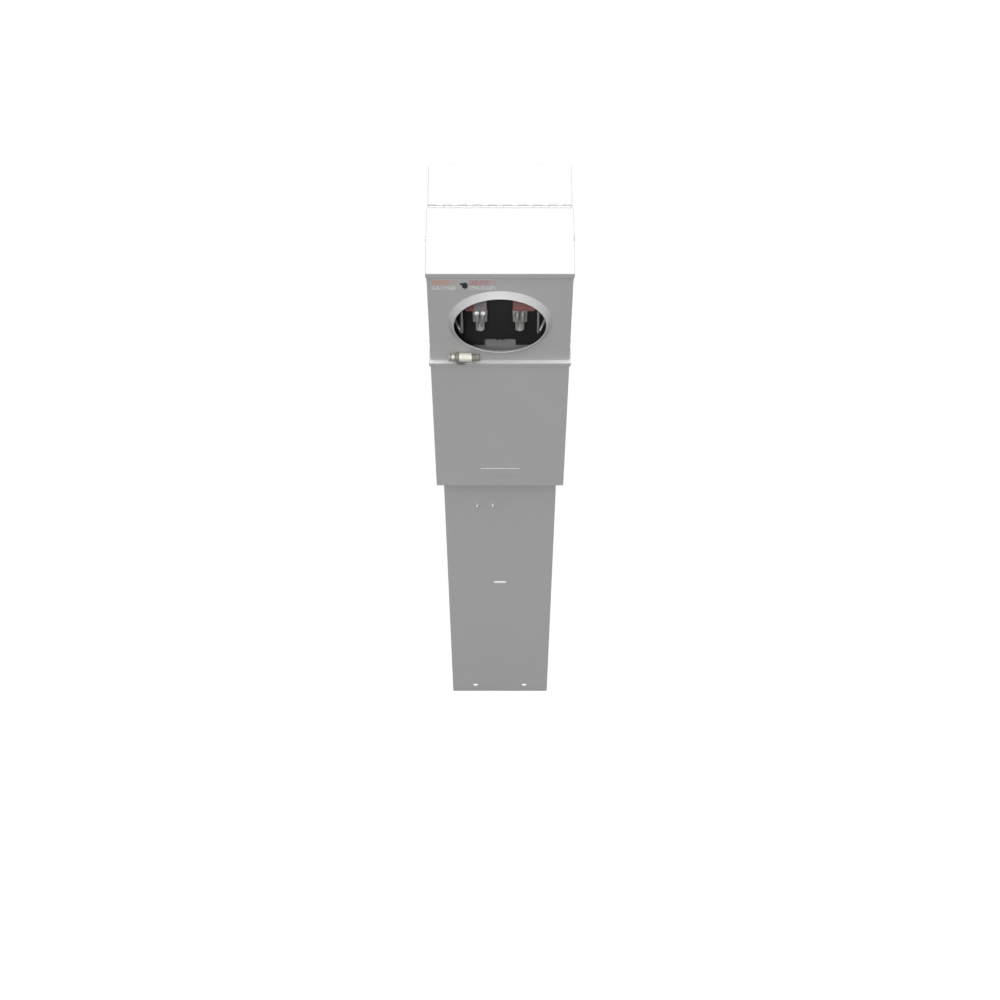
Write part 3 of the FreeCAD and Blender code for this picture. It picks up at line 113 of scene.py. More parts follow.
class PedestalMetal(bpy.types.PropertyGroup):
    """Colours of the bare metal pieces."""

    zinc: bpy.props.FloatVectorProperty(
        name="Zinc", description="Zinc-plated screws, brackets and rails", subtype="COLOR", size=3,
        default=(0.62, 0.62, 0.60), min=0.0, max=1.0)
    tin: bpy.props.FloatVectorProperty(
        name="Tin", description="Tin plate on jaws and lugs", subtype="COLOR", size=3,
        default=(0.56, 0.56, 0.545), min=0.0, max=1.0)
    spring: bpy.props.FloatVectorProperty(
        name="Spring steel", description="Wire guides and spring leaves", subtype="COLOR", size=3,
        default=(0.56, 0.565, 0.57), min=0.0, max=1.0)
    barrel: bpy.props.FloatVectorProperty(
        name="Latch barrel", description="Polished nickel of the latch barrel", subtype="COLOR", size=3,
        default=(0.56, 0.54, 0.48), min=0.0, max=1.0)
    dulled: bpy.props.FloatVectorProperty(
        name="Dulled steel", description="Latch bracket and keeper", subtype="COLOR", size=3,
        default=(0.17, 0.162, 0.145), min=0.0, max=1.0)
    # The clip steel is kept darker than the zinc: that darkness is painted shade.
    clip: bpy.props.FloatVectorProperty(
        name="Clip steel", description="The clip on the left insulating block", subtype="COLOR", size=3,
        default=(0.38, 0.345, 0.35), min=0.0, max=1.0)
    copper: bpy.props.FloatVectorProperty(
        name="Copper", description="Flat bars and links", subtype="COLOR", size=3,
        default=(0.78, 0.42, 0.27), min=0.0, max=1.0)
    brass: bpy.props.FloatVectorProperty(
        name="Brass", description="Earth and neutral bars", subtype="COLOR", size=3,
        default=(0.72, 0.55, 0.27), min=0.0, max=1.0)


class PedestalPlastic(bpy.types.PropertyGroup):
    """Colours of the moulded pieces and of the label."""

    black: bpy.props.FloatVectorProperty(
        name="Black", description="Insulating plate and breaker cases", subtype="COLOR", size=3,
        default=(0.033, 0.0325, 0.0325), min=0.0, max=1.0)
    red: bpy.props.FloatVectorProperty(
        name="Red", description="Insulating blocks between the jaws", subtype="COLOR", size=3,
        default=(0.30, 0.135, 0.128), min=0.0, max=1.0)
    grey: bpy.props.FloatVectorProperty(
        name="Grey", description="Household receptacle", subtype="COLOR", size=3,
        default=(0.42, 0.42, 0.42), min=0.0, max=1.0)
    orange_band: bpy.props.FloatVectorProperty(
        name="Orange band", description="Left band of the label", subtype="COLOR", size=3,
        default=(0.62, 0.20, 0.07), min=0.0, max=1.0)
    red_band: bpy.props.FloatVectorProperty(
        name="Red band", description="Right band of the label", subtype="COLOR", size=3,
        default=(0.45, 0.07, 0.09), min=0.0, max=1.0)


class PedestalShapes(bpy.types.PropertyGroup):
    """Sizes of the pieces that are made here."""

    knurl_count: bpy.props.IntProperty(
        name="Knurls", description="Ridges around the latch knob", default=28, min=8, max=80)
    knurl_depth: bpy.props.FloatProperty(
        name="Knurl depth", description="Depth of the ridges on the latch knob", subtype="DISTANCE",
        unit="LENGTH", default=0.0004, min=0.0, max=0.001)
    knob_rim: bpy.props.FloatProperty(
        name="Knob rim", description="Width of the knob's knurled rim", subtype="DISTANCE", unit="LENGTH",
        default=0.0022, min=0.002, max=0.006)
    knob_ball: bpy.props.FloatProperty(
        name="Knob ball", description="Radius of the knob's ball", subtype="DISTANCE", unit="LENGTH",
        default=0.0072, min=0.003, max=0.0075)
    knuckle_count: bpy.props.IntProperty(
        name="Knuckles", description="Knuckles along the lid's hinge", default=19, min=3, max=41)
    knuckle_gap: bpy.props.FloatProperty(
        name="Knuckle gap", description="Room between two knuckles", subtype="DISTANCE", unit="LENGTH",
        default=0.0004, min=0.0, max=0.002)
    groove_width: bpy.props.FloatProperty(
        name="Groove width", description="Half width of the groove along the latch barrel",
        subtype="DISTANCE",
        unit="LENGTH", default=0.0009, min=0.0003, max=0.002)
    groove_depth: bpy.props.FloatProperty(
        name="Groove depth", description="Depth of the groove along the latch barrel", subtype="DISTANCE",
        unit="LENGTH", default=0.0011, min=0.0, max=0.002)
    jaw_width: bpy.props.FloatProperty(
        name="Jaw width", description="Width of a jaw's block", subtype="DISTANCE", unit="LENGTH",
        default=0.0262, min=0.02, max=0.0266)
    jaw_root: bpy.props.FloatProperty(
        name="Jaw root", description="Depth of a jaw's block", subtype="DISTANCE", unit="LENGTH",
        default=0.008, min=0.004, max=0.012)
    jaw_drop: bpy.props.FloatProperty(
        name="Jaw drop", description="How far a jaw's block reaches down over its lug", subtype="DISTANCE",
        unit="LENGTH", default=0.0135, min=0.0, max=0.02)
    finger_width: bpy.props.FloatProperty(
        name="Finger width", description="Width of one finger of a jaw", subtype="DISTANCE", unit="LENGTH",
        default=0.0067, min=0.004, max=0.01)
    finger_gap: bpy.props.FloatProperty(
        name="Finger gap", description="Room between the two fingers of a jaw", subtype="DISTANCE",
        unit="LENGTH", default=0.0030, min=0.001, max=0.005)
    guide_radius: bpy.props.FloatProperty(
        name="Guide wire radius", description="Radius of the wire that centres the meter", subtype="DISTANCE",
        unit="LENGTH", default=0.0024, min=0.001, max=0.003)
    guide_bend: bpy.props.FloatProperty(
        name="Guide bend", description="Inner bend radius of the guide wire", subtype="DISTANCE",
        unit="LENGTH", default=0.006, min=0.002, max=0.012)
    guide_foot: bpy.props.FloatProperty(
        name="Guide foot", description="Height of the wire's feet above and below the middle of the opening",
        subtype="DISTANCE", unit="LENGTH", default=0.065, min=0.04, max=0.07)
    guide_spacing: bpy.props.FloatProperty(
        name="Guide spacing", description="From the middle of the opening to the wire's straight run",
        subtype="DISTANCE", unit="LENGTH", default=0.069, min=0.05, max=0.08)


class PedestalStage(bpy.types.PropertyGroup):
    """The camera, the floor and the light."""

    elevation: bpy.props.FloatProperty(
        name="Elevation", description="Camera height above the horizon", subtype="ANGLE", unit="ROTATION",
        default=math.radians(60.0))
    distance: bpy.props.FloatProperty(
        name="Distance", description="From the camera to the point that it looks at", subtype="DISTANCE",
        unit="LENGTH", default=4.408, min=0.5)
    lens: bpy.props.FloatProperty(
        name="Lens", description="Focal length in millimetres on a 36 mm sensor", default=76.2, min=10.0)
    target_y: bpy.props.FloatProperty(
        name="Target depth", description="How far in front of the middle the camera aims", subtype="DISTANCE",
        unit="LENGTH", default=-0.0605)
    sky: bpy.props.FloatProperty(
        name="Sky", description="Strength of the even light from all round", default=0.12, min=0.0)
    zenith: bpy.props.FloatProperty(
        name="Zenith", description="Strength that the sky gains towards straight above", default=5.0, min=0.0)
    front_light: bpy.props.FloatProperty(
        name="Front light", description="Strength of the light from above and in front", default=1.6, min=0.0)
    side_light: bpy.props.FloatProperty(
        name="Side light", description="Strength of the light on the right side", default=0.9, min=0.0)
    back_light: bpy.props.FloatProperty(
        name="Back light", description="Strength of the light on the rear", default=0.7, min=0.0)


SETTINGS = {
    "pedestal_paint": PedestalPaint,
    "pedestal_metal": PedestalMetal,
    "pedestal_plastic": PedestalPlastic,
    "pedestal_shapes": PedestalShapes,
    "pedestal_stage": PedestalStage,
}


# ---------------------------------------------------------------- shader node helpers
class Tree:
    """A small wrapper that adds and links the nodes of one material or node group."""

    def __init__(self, tree):
        self.tree = tree

    def add(self, kind, **values):
        """Adds a node. Values whose name is a node property are set on it, and the others on its inputs."""
        node = self.tree.nodes.new(kind)
        for name, value in values.items():
            if hasattr(node, name):
                setattr(node, name, value)
            else:
                self.put(node, name.replace("_", " "), value)
        return node

    def put(self, node, socket, value):
        """Links an output to an input, or sets the input's value."""
        target = node.inputs[socket]
        if isinstance(value, bpy.types.NodeSocket):
            self.tree.links.new(value, target)
        else:
            target.default_value = value

    def math(self, operation, first, second=0.0, clamp=False):
        """One sum of two values or outputs."""
        node = self.tree.nodes.new("ShaderNodeMath")
        node.operation = operation
        node.use_clamp = clamp
        self.put(node, 0, first)
        self.put(node, 1, second)
        return node.outputs[0]

    def between(self, value, low, high):
        """1 where value lies between low and high, else 0."""
        above = self.math("GREATER_THAN", value, low)
        below = self.math("LESS_THAN", value, high)
        return self.math("MULTIPLY", above, below)

    def remap(self, value, low, high, new_low, new_high):
        """Carries a value from one range to another in a straight line, kept within the new range."""
        node = self.tree.nodes.new("ShaderNodeMapRange")
        for socket, number in zip(("Value", "From Min", "From Max", "To Min", "To Max"),
                                  (value, low, high, new_low, new_high)):
            self.put(node, socket, number)
        return node.outputs[0]

    def mix(self, factor, first, second, blend="MIX"):
        """Blends two colours."""
        node = self.tree.nodes.new("ShaderNodeMix")
        node.data_type = "RGBA"
        node.blend_type = blend
        self.put(node, "Factor", factor)
        for socket, value in ((6, first), (7, second)):
            if not isinstance(value, bpy.types.NodeSocket) and len(value) == 3:
                value = (*value, 1.0)
            self.put(node, socket, value)
        return node.outputs[2]

    def noise(self, scale, detail=2.0, roughness=0.5, vector=None):
        """Soft noise in the piece's own coordinates, or in the ones given."""
        node = self.tree.nodes.new("ShaderNodeTexNoise")
        self.put(node, "Scale", scale)
        self.put(node, "Detail", detail)
        self.put(node, "Roughness", roughness)
        if vector is None:
            vector = self.tree.nodes.new("ShaderNodeTexCoord").outputs["Object"]
        self.put(node, "Vector", vector)
        return node.outputs["Fac"]

    def group(self, name, **values):
        """Places a shared node group and sets its inputs."""
        node = self.tree.nodes.new("ShaderNodeGroup")
        node.node_tree = bpy.data.node_groups[name]
        for socket, value in values.items():
            self.put(node, socket.replace("_", " "), value)
        return node.outputs


def new_group(name, inputs, outputs):
    """An empty shared node group with named number inputs and outputs."""
    group = bpy.data.node_groups.new(name, "ShaderNodeTree")
    for socket, default in inputs.items():
        item = group.interface.new_socket(socket, in_out="INPUT", socket_type="NodeSocketFloat")
        item.default_value = default
    for socket in outputs:
        group.interface.new_socket(socket, in_out="OUTPUT", socket_type="NodeSocketFloat")
    tree = Tree(group)
    return tree, tree.add("NodeGroupInput").outputs, tree.add("NodeGroupOutput")


def build_shared_groups():
    """Coat grain, edge wear with a painted edge highlight, dust, brushed lines and moulded grain."""
    inputs = {"Scale": 600.0, "Amount": 0.05}
    tree, given, result = new_group("Coat grain", inputs, ("Tint", "Height", "Cloud"))
    fine = tree.noise(given["Scale"], 3.0, 0.6)
    cloud = tree.noise(9.0, 4.0, 0.55)
    spread = tree.math("MULTIPLY", tree.math("SUBTRACT", fine, 0.5), given["Amount"])
    spread = tree.math("MULTIPLY", spread, 2.0)
    drift = tree.math("MULTIPLY", tree.math("SUBTRACT", cloud, 0.5), 0.06)
    tree.put(result, "Tint", tree.math("ADD", tree.math("ADD", spread, 1.0), drift))
    tree.put(result, "Height", fine)
    tree.put(result, "Cloud", cloud)

    # Edge mask: folds and edges get lighter, partly as wear and partly as a painted edge highlight.
    tree, given, result = new_group("Edge wear", {"Radius": 0.0015, "Amount": 0.3}, ("Mask",))
    bevel = tree.add("ShaderNodeBevel", samples=4)
    tree.put(bevel, "Radius", given["Radius"])
    geometry = tree.add("ShaderNodeNewGeometry")
    turn = tree.tree.nodes.new("ShaderNodeVectorMath")
    turn.operation = "DOT_PRODUCT"
    tree.put(turn, 0, bevel.outputs["Normal"])
    tree.put(turn, 1, geometry.outputs["Normal"])
    edge = tree.remap(turn.outputs["Value"], 0.995, 0.80, 0.0, 1.0)
    broken = tree.remap(tree.noise(140.0, 5.0, 0.65), 0.42, 0.66, 0.0, 1.0)
    wear_and_highlight = tree.math("MULTIPLY", edge, broken)
    tree.put(result, "Mask", tree.math("MULTIPLY", wear_and_highlight, given["Amount"], True))

    tree, given, result = new_group("Dust", {"Low": 0.0, "High": 0.35, "Amount": 0.2}, ("Mask",))
    place = tree.add("ShaderNodeSeparateXYZ")
    tree.put(place, 0, tree.add("ShaderNodeTexCoord").outputs["Object"])
    low = tree.remap(place.outputs["Z"], given["High"], given["Low"], 0.0, 1.0)
    patches = tree.remap(tree.noise(26.0, 5.0, 0.6), 0.35, 0.75, 0.2, 1.0)
    dusty = tree.math("MULTIPLY", low, patches)
    tree.put(result, "Mask", tree.math("MULTIPLY", dusty, given["Amount"], True))

    tree, given, result = new_group("Brushed lines", {"Along": 40.0, "Across": 2600.0}, ("Tint", "Height"))
    scale = tree.add("ShaderNodeCombineXYZ")
    tree.put(scale, "X", given["Along"])
    tree.put(scale, "Y", given["Across"])
    tree.put(scale, "Z", given["Across"])
    stretch = tree.tree.nodes.new("ShaderNodeVectorMath")
    stretch.operation = "MULTIPLY"
    tree.put(stretch, 0, tree.add("ShaderNodeTexCoord").outputs["Object"])
    tree.put(stretch, 1, scale.outputs[0])
    lines = tree.noise(1.0, 3.0, 0.6, stretch.outputs[0])
    tree.put(result, "Tint", tree.remap(lines, 0.3, 0.7, 0.88, 1.06))
    tree.put(result, "Height", lines)

    tree, given, result = new_group("Moulded grain", {"Scale": 1400.0, "Amount": 0.1}, ("Tint", "Height"))
    speck = tree.noise(given["Scale"], 2.0, 0.5)
    flow = tree.noise(22.0, 3.0, 0.5)
    change = tree.math("MULTIPLY", tree.math("SUBTRACT", flow, 0.5), given["Amount"])
    tree.put(result, "Tint", tree.math("ADD", 1.0, tree.math("MULTIPLY", change, 2.0)))
    tree.put(result, "Height", speck)


def new_material(name):
    """A material with only a Principled shader and its output."""
    material = bpy.data.materials.new(name)
    material.use_nodes = True
    material.node_tree.nodes.clear()
    tree = Tree(material.node_tree)
    shader = tree.add("ShaderNodeBsdfPrincipled")
    output = tree.add("ShaderNodeOutputMaterial")
    tree.put(output, "Surface", shader.outputs[0])
    return material, tree, shader


def tinted(tree, colour, tint):
    """A plain colour multiplied by a grey value."""
    grey = tree.add("ShaderNodeCombineColor")
    for channel in ("Red", "Green", "Blue"):
        tree.put(grey, channel, tint)
    return tree.mix(1.0, tuple(colour), grey.outputs[0], "MULTIPLY")


def bump(tree, shader, height, strength, distance):
    """Gives the shader a relief from a height value."""
    node = tree.add("ShaderNodeBump")
    node.inputs["Strength"].default_value = strength
    node.inputs["Distance"].default_value = distance
    tree.put(node, "Height", height)
    tree.put(shader, "Normal", node.outputs[0])


def painted_shadow_ellipsoid(tree, centre, half):
    """1 in the middle of an ellipsoid and 0 at its surface: 1 less the squared distance in half sizes. It
    places the painted shadow under the latch.
    """
    away = tree.tree.nodes.new("ShaderNodeVectorMath")
    away.operation = "SUBTRACT"
    tree.put(away, 0, tree.add("ShaderNodeTexCoord").outputs["Object"])
    away.inputs[1].default_value = centre
    scaled = tree.tree.nodes.new("ShaderNodeVectorMath")
    scaled.operation = "DIVIDE"
    tree.put(scaled, 0, away.outputs[0])
    scaled.inputs[1].default_value = half
    square = tree.tree.nodes.new("ShaderNodeVectorMath")
    square.operation = "DOT_PRODUCT"
    tree.put(square, 0, scaled.outputs[0])
    tree.put(square, 1, scaled.outputs[0])
    return tree.math("SUBTRACT", 1.0, square.outputs["Value"], True)


def hinge_seam_shade(tree, shapes):
    """Painted shade along the hinge seam: 1 in a thin line along the rear of the lid's own knuckles, which
    are every second one, else 0.
    """
    low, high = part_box("lid_hinge_pin")
    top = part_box("rear_lid")[1].z
    edge = (low.y + high.y) / 2 + top - (low.z + high.z) / 2
    pitch = (high.x - low.x + shapes.knuckle_gap) / shapes.knuckle_count
    place = tree.add("ShaderNodeSeparateXYZ")
    tree.put(place, 0, tree.add("ShaderNodeTexCoord").outputs["Object"])
    turns = tree.math("DIVIDE", tree.math("SUBTRACT", place.outputs["X"], low.x), 2.0 * pitch)
    second = tree.math("GREATER_THAN", tree.math("FRACT", turns), 0.5)
    line = tree.between(place.outputs["Y"], edge - 0.0023, edge - 0.0003)
    line = tree.math("MULTIPLY", line, tree.between(place.outputs["Z"], top - 0.003, top + 0.001))
    return tree.math("MULTIPLY", line, second)


def painted_material(name, colour, roughness, wear, dust):
    """Powder-coated sheet: fine orange peel, folds and edges made lighter for wear and as a painted edge
    highlight, a painted shadow under the latch, a painted shade line along the hinge seam and some dust.
    """
    material, tree, shader = new_material(name)
    grain = tree.group("Coat grain", Scale=420.0, Amount=0.05)
    base = tinted(tree, colour, grain["Tint"])
    # Edges mixed towards a paler grey: partly worn paint, partly a painted edge highlight.
    wear_and_highlight = tree.group("Edge wear", Radius=0.0016, Amount=wear)["Mask"]
    base = tree.mix(wear_and_highlight, base, (0.62, 0.62, 0.61))
    dusty = tree.group("Dust", Low=0.0, High=0.45, Amount=dust)["Mask"]
    base = tree.mix(dusty, base, (0.34, 0.31, 0.27))
    # Painted shadow: a dark ellipsoid on the lip just under the latch, standing for the shade that the latch
    # casts there.
    below_latch = (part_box("latch_barrel")[0].x + 0.003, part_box("lower_cover")[0].y,
                   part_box("meter_cover")[0].z - 0.0015)
    marked = tree.math("MULTIPLY", painted_shadow_ellipsoid(tree, below_latch, LATCH_SHADOW_HALF_SIZE), 0.95)
    base = tree.mix(marked, base, (0.10, 0.095, 0.095))
    # Painted shade: the hinge seam's dark line is painted into the coat along the lid's own knuckles.
    seam_shade = tree.math("MULTIPLY", hinge_seam_shade(tree, bpy.context.scene.pedestal_shapes), 0.55)
    base = tree.mix(seam_shade, base, (0.10, 0.10, 0.10))
    tree.put(shader, "Base Color", base)
    tree.put(shader, "Roughness", tree.remap(grain["Cloud"], 0.3, 0.7, roughness - 0.05, roughness + 0.07))
    bump(tree, shader, grain["Height"], 0.18, 0.0004)
    return material


def metal_material(name, colour, roughness, lines=(40.0, 2600.0), metallic=1.0, spots=0.25):
    """Bare or plated metal with drawn lines, small dull spots and brighter edges, which are partly wear and
    partly a painted highlight.
    """
    material, tree, shader = new_material(name)
    brushed = tree.group("Brushed lines", Along=lines[0], Across=lines[1])
    base = tinted(tree, colour, brushed["Tint"])
    dull = tree.remap(tree.noise(160.0, 4.0, 0.6), 0.45, 0.75, 0.0, spots)
    base = tree.mix(dull, base, tuple(channel * 0.55 for channel in colour))
    # Brighter edges: partly wear, partly a painted highlight.
    edge = tree.group("Edge wear", Radius=0.0006, Amount=0.5)["Mask"]
    base = tree.mix(edge, base, tuple(min(1.0, channel * 1.3) for channel in colour))
    tree.put(shader, "Base Color", base)
    tree.put(shader, "Roughness", tree.math("ADD", tree.math("MULTIPLY", dull, 0.8), roughness))
    shader.inputs["Metallic"].default_value = metallic
    bump(tree, shader, brushed["Height"], 0.12, 0.0002)
    return material


def plastic_material(name, colour, roughness, grain=0.12, coat=0.0):
    """Moulded plastic with a fine eroded grain and faint flow marks."""
    material, tree, shader = new_material(name)
    moulded = tree.group("Moulded grain", Scale=1400.0, Amount=grain)
    base = tinted(tree, colour, moulded["Tint"])
    # Lighter edges: partly wear, partly a painted highlight.
    edge = tree.group("Edge wear", Radius=0.0008, Amount=0.25)["Mask"]
    base = tree.mix(edge, base, tuple(min(1.0, channel * 1.6 + 0.02) for channel in colour))
    tree.put(shader, "Base Color", base)
    tree.put(shader, "Roughness", tree.remap(moulded["Height"], 0.3, 0.7, roughness - 0.06, roughness + 0.06))
    shader.inputs["Coat Weight"].default_value = coat
    bump(tree, shader, moulded["Height"], 0.15, 0.0002)
    return material


def label_material(name, plastic):
    """The rating plate's print on a field like the coat: an orange and a red band of broken marks, a row of
    pale marks under each, and a black spot with a small spur between the bands. Nothing on it can be read.
    """
    material, tree, shader = new_material(name)
    low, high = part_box("rating_label")
    place = tree.add("ShaderNodeSeparateXYZ")
    tree.put(place, 0, tree.add("ShaderNodeTexCoord").outputs["Object"])
    across, upward = place.outputs["X"], place.outputs["Z"]
    mottle = tree.noise(420.0, 2.0, 0.5)
    marks = tree.remap(mottle, 0.40, 0.56, 0.15, 1.0)
    base = tinted(tree, (0.44, 0.44, 0.44), tree.remap(mottle, 0.3, 0.7, 0.94, 1.06))
    top = high.z - 0.002
    band_height = 0.0155
    orange_end = 0.014
    red_end = 0.012
    spot_x = low.x + 0.0571
    spot_z = top - 0.0160
    gap_start = spot_x - 0.015
    gap_end = spot_x + 0.007
    bands = (
        (low.x, gap_start - orange_end, plastic.orange_band, 0.62),
        (gap_start - orange_end, gap_start, plastic.orange_band, 0.28),
        (gap_end, high.x - red_end, plastic.red_band, 0.56),
        (high.x - red_end, high.x, plastic.red_band, 0.30),
    )
    in_band = tree.between(upward, top - band_height, top)
    for start, end, colour, strength in bands:
        mask = tree.math("MULTIPLY", tree.between(across, start, end), in_band)
        mask = tree.math("MULTIPLY", tree.math("MULTIPLY", mask, marks), strength)
        base = tree.mix(mask, base, tuple(colour))
    in_row = tree.between(upward, low.z + 0.001, top - band_height - 0.001)
    broken = tree.remap(tree.noise(300.0, 2.0, 0.5), 0.46, 0.58, 0.0, 0.75)
    from_spot = tree.math("ABSOLUTE", tree.math("SUBTRACT", across, spot_x - 0.004))
    clear_of_spot = tree.math("GREATER_THAN", from_spot, 0.012)
    pale = tree.math("MULTIPLY", tree.math("MULTIPLY", in_row, broken), clear_of_spot)
    base = tree.mix(pale, base, (0.66, 0.67, 0.67))
    spot = (spot_x, spot_z, 0.0052, 0.0094)
    spur = (spot_x - 0.0060, spot_z + 0.0045, 0.0030, 0.0030)
    for centre_x, centre_z, half_x, half_z in (spot, spur):
        away_x = tree.math("DIVIDE", tree.math("SUBTRACT", across, centre_x), half_x)
        away_z = tree.math("DIVIDE", tree.math("SUBTRACT", upward, centre_z), half_z)
        away = tree.math("ADD", tree.math("POWER", away_x, 2.0), tree.math("POWER", away_z, 2.0))
        base = tree.mix(tree.math("LESS_THAN", away, 1.0), base, (0.022, 0.022, 0.022))
    tree.put(shader, "Base Color", base)
    tree.put(shader, "Roughness", tree.remap(mottle, 0.3, 0.7, 0.42, 0.50))
    return material


def build_materials():
    """One finish for each material slot of the record."""
    scene = bpy.context.scene
    paint, metal, plastic = scene.pedestal_paint, scene.pedestal_metal, scene.pedestal_plastic
    build_shared_groups()
    return {
        "painted_steel": painted_material("powder_coat", paint.coat, paint.roughness, paint.wear, paint.dust),
        "pan_steel": painted_material("pan_coat", paint.inner_coat, paint.roughness, 0.1, 0.0),
        "zinc_steel": metal_material("zinc_plate", metal.zinc, 0.36, (600.0, 1400.0), 0.55, 0.45),
        "spring_steel": metal_material("spring_wire", metal.spring, 0.34, metallic=0.5),
        "tinned_metal": metal_material("tin_plate", metal.tin, 0.46, (300.0, 1500.0), 0.4),
        "brass_metal": metal_material("brass_bar", metal.brass, 0.30),
        "copper_bar": metal_material("copper_bar", metal.copper, 0.30),
        "black_plastic": plastic_material("black_moulding", plastic.black, 0.48),
        "red_fibre": plastic_material("red_fibre", plastic.red, 0.50, 0.3),
        "label_print": label_material("label_print", plastic),
        "polished_metal": metal_material("polished_nickel", metal.barrel, 0.55, (900.0, 60.0), 0.25, 0.05),
        "latch_steel": metal_material("latch_steel", (0.40, 0.40, 0.365), 0.40, (900.0, 80.0), 0.5),
        "dark_steel": metal_material("dulled_steel", metal.dulled, 0.72, metallic=0.0),
        # Clip steel: darker than the zinc as painted shade.
        "clip_steel": metal_material("clip_steel", metal.clip, 0.45, metallic=0.3),
        "stainless": metal_material("brushed_stainless", (0.60, 0.60, 0.60), 0.30),
        "grey_plastic": plastic_material("grey_moulding", plastic.grey, 0.32, 0.06, 0.2),
        "toggle_plastic": plastic_material("toggle_moulding", (0.03, 0.03, 0.03), 0.34, 0.1, 0.2),
        "test_plastic": plastic_material("test_button_moulding", (0.02, 0.02, 0.02), 0.34),
        "reset_plastic": plastic_material("reset_button_moulding", (0.42, 0.03, 0.03), 0.34),
        "wire_black": plastic_material("black_insulation", (0.02, 0.02, 0.02), 0.40),
        "wire_white": plastic_material("white_insulation", (0.72, 0.72, 0.70), 0.42),
    }


MATERIALS = {}


# ---------------------------------------------------------------- mesh helpers
def grid_mesh(name, points, closed_u=False, closed_v=True, pole_start=False, pole_end=False):
    """A mesh over a grid of points[u, v, xyz]. A pole closes the first or last row to one point."""
    rows, columns = points.shape[:2]
    vertices = points.reshape(-1, 3)
    u = np.arange(rows if closed_u else rows - 1)
    v = np.arange(columns if closed_v else columns - 1)
    uu, vv = np.meshgrid(u, v, indexing="ij")
    next_u = (uu + 1) % rows
    next_v = (vv + 1) % columns
    corners = [uu * columns + vv, next_u * columns + vv, next_u * columns + next_v, uu * columns + next_v]
    quads = np.stack(corners, axis=-1).reshape(-1, 4)
    faces = [quads]
    fans = []
    extra = []
    ring = np.arange(columns)
    for wanted, row, flip in ((pole_start, 0, False), (pole_end, rows - 1, True)):
        if wanted:
            centre = len(vertices) + len(extra)
            extra.append(points[row].mean(axis=0))
            first = row * columns + ring
            second = row * columns + (ring + 1) % columns
            if flip:
                first, second = second, first
            fans.append(np.stack([np.full(columns, centre), first, second], axis=-1))
    if extra:
        vertices = np.vstack([vertices, np.array(extra)])
    mesh = bpy.data.meshes.new(name)
    mesh.from_pydata(vertices.tolist(), [], [face for part in faces + fans for face in part.tolist()])
    mesh.validate()
    mesh.update()
    return mesh


def add_piece(name, meshes, body, slot, replaced=()):
    """Joins meshes into one object at the origin, with outward faces, a finish and a body to ride on."""
    whole = bmesh.new()
    for mesh in meshes:
        whole.from_mesh(mesh)
        bpy.data.meshes.remove(mesh)
    bmesh.ops.recalc_face_normals(whole, faces=whole.faces)
    mesh = bpy.data.meshes.new(name)
    whole.to_mesh(mesh)
    whole.free()
    mesh.polygons.foreach_set("use_smooth", np.ones(len(mesh.polygons), dtype=bool))
    mesh.materials.append(MATERIALS[slot])
    piece = bpy.data.objects.new(name, mesh)
    bpy.context.scene.collection.objects.link(piece)
    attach(piece, body)
    if replaced:
        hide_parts(*replaced)
    return piece


def turned(profile, centre, count, axis=0, ripple=None):
    """A turned shape: profile rows are (place along the axis, radius), carried round the axis."""
    turn = np.linspace(0.0, 2.0 * math.pi, count, endpoint=False)
    along = profile[:, 0][:, None] + 0.0 * turn[None, :]
    radius = profile[:, 1][:, None] + 0.0 * turn[None, :]
    if ripple is not None:
        radius = radius + ripple(profile[:, 0][:, None], turn[None, :])
    other = [index for index in range(3) if index != axis]
    points = np.empty((*along.shape, 3))
    points[..., axis] = along
    points[..., other[0]] = centre[other[0]] + radius * np.cos(turn)
    points[..., other[1]] = centre[other[1]] + radius * np.sin(turn)
    return points


def rounded_rim(start, end, radius, edge, count):
    """Profile rows of a band of one radius between two places, with quarter-round edges."""
    soft = np.linspace(0.0, math.pi / 2, 6)
    inset = edge * (1 - np.cos(soft))
    rise = radius - edge + edge * np.sin(soft)
    first = np.stack([start + inset, rise], axis=1)
    places = np.linspace(start + edge, end - edge, count)[1:-1]
    flat = np.stack([places, np.full(len(places), radius)], axis=1)
    last = np.stack([end - inset, rise], axis=1)[::-1]
    return np.vstack([first, flat, last])


def rounded_path(corners, radius, steps=10):
    """Straight runs joined by tangent arcs: each corner becomes an arc of the given radius."""
    corners = np.asarray(corners, float)
    points = [corners[0]]
    for before, corner, after in zip(corners, corners[1:], corners[2:]):
        into = (corner - before) / np.linalg.norm(corner - before)
        out = (after - corner) / np.linalg.norm(after - corner)
        turn = math.acos(np.clip(into @ out, -1.0, 1.0))
        reach = radius * math.tan(turn / 2)
        inward = out - into
        inward /= np.linalg.norm(inward)
        centre = corner + inward * radius / math.cos(turn / 2)
        start = corner - into * reach - centre
        normal = np.cross(into, out)
        normal /= np.linalg.norm(normal)
        side = np.cross(normal, start)
        angle = np.linspace(0.0, turn, steps)[:, None]
        points.extend(centre + start * np.cos(angle) + side * np.sin(angle))
    points.append(corners[-1])
    return np.array(points)


def tube(path, radius, count=16):
    """A round tube: a circle carried along the path on a frame that doesn't twist."""
    step = np.gradient(path, axis=0)
    step /= np.linalg.norm(step, axis=1)[:, None]
    side = np.cross(step[0], (0.0, 1.0, 0.0))
    side /= np.linalg.norm(side)
    sides = []
    for direction in step:
        side = side - direction * (side @ direction)
        side = side / np.linalg.norm(side)
        sides.append(side)
    sides = np.array(sides)
    others = np.cross(step, sides)
    turn = np.linspace(0.0, 2.0 * math.pi, count, endpoint=False)
    ring = sides[:, None, :] * np.cos(turn)[None, :, None] + others[:, None, :] * np.sin(turn)[None, :, None]
    return path[:, None, :] + radius * ring


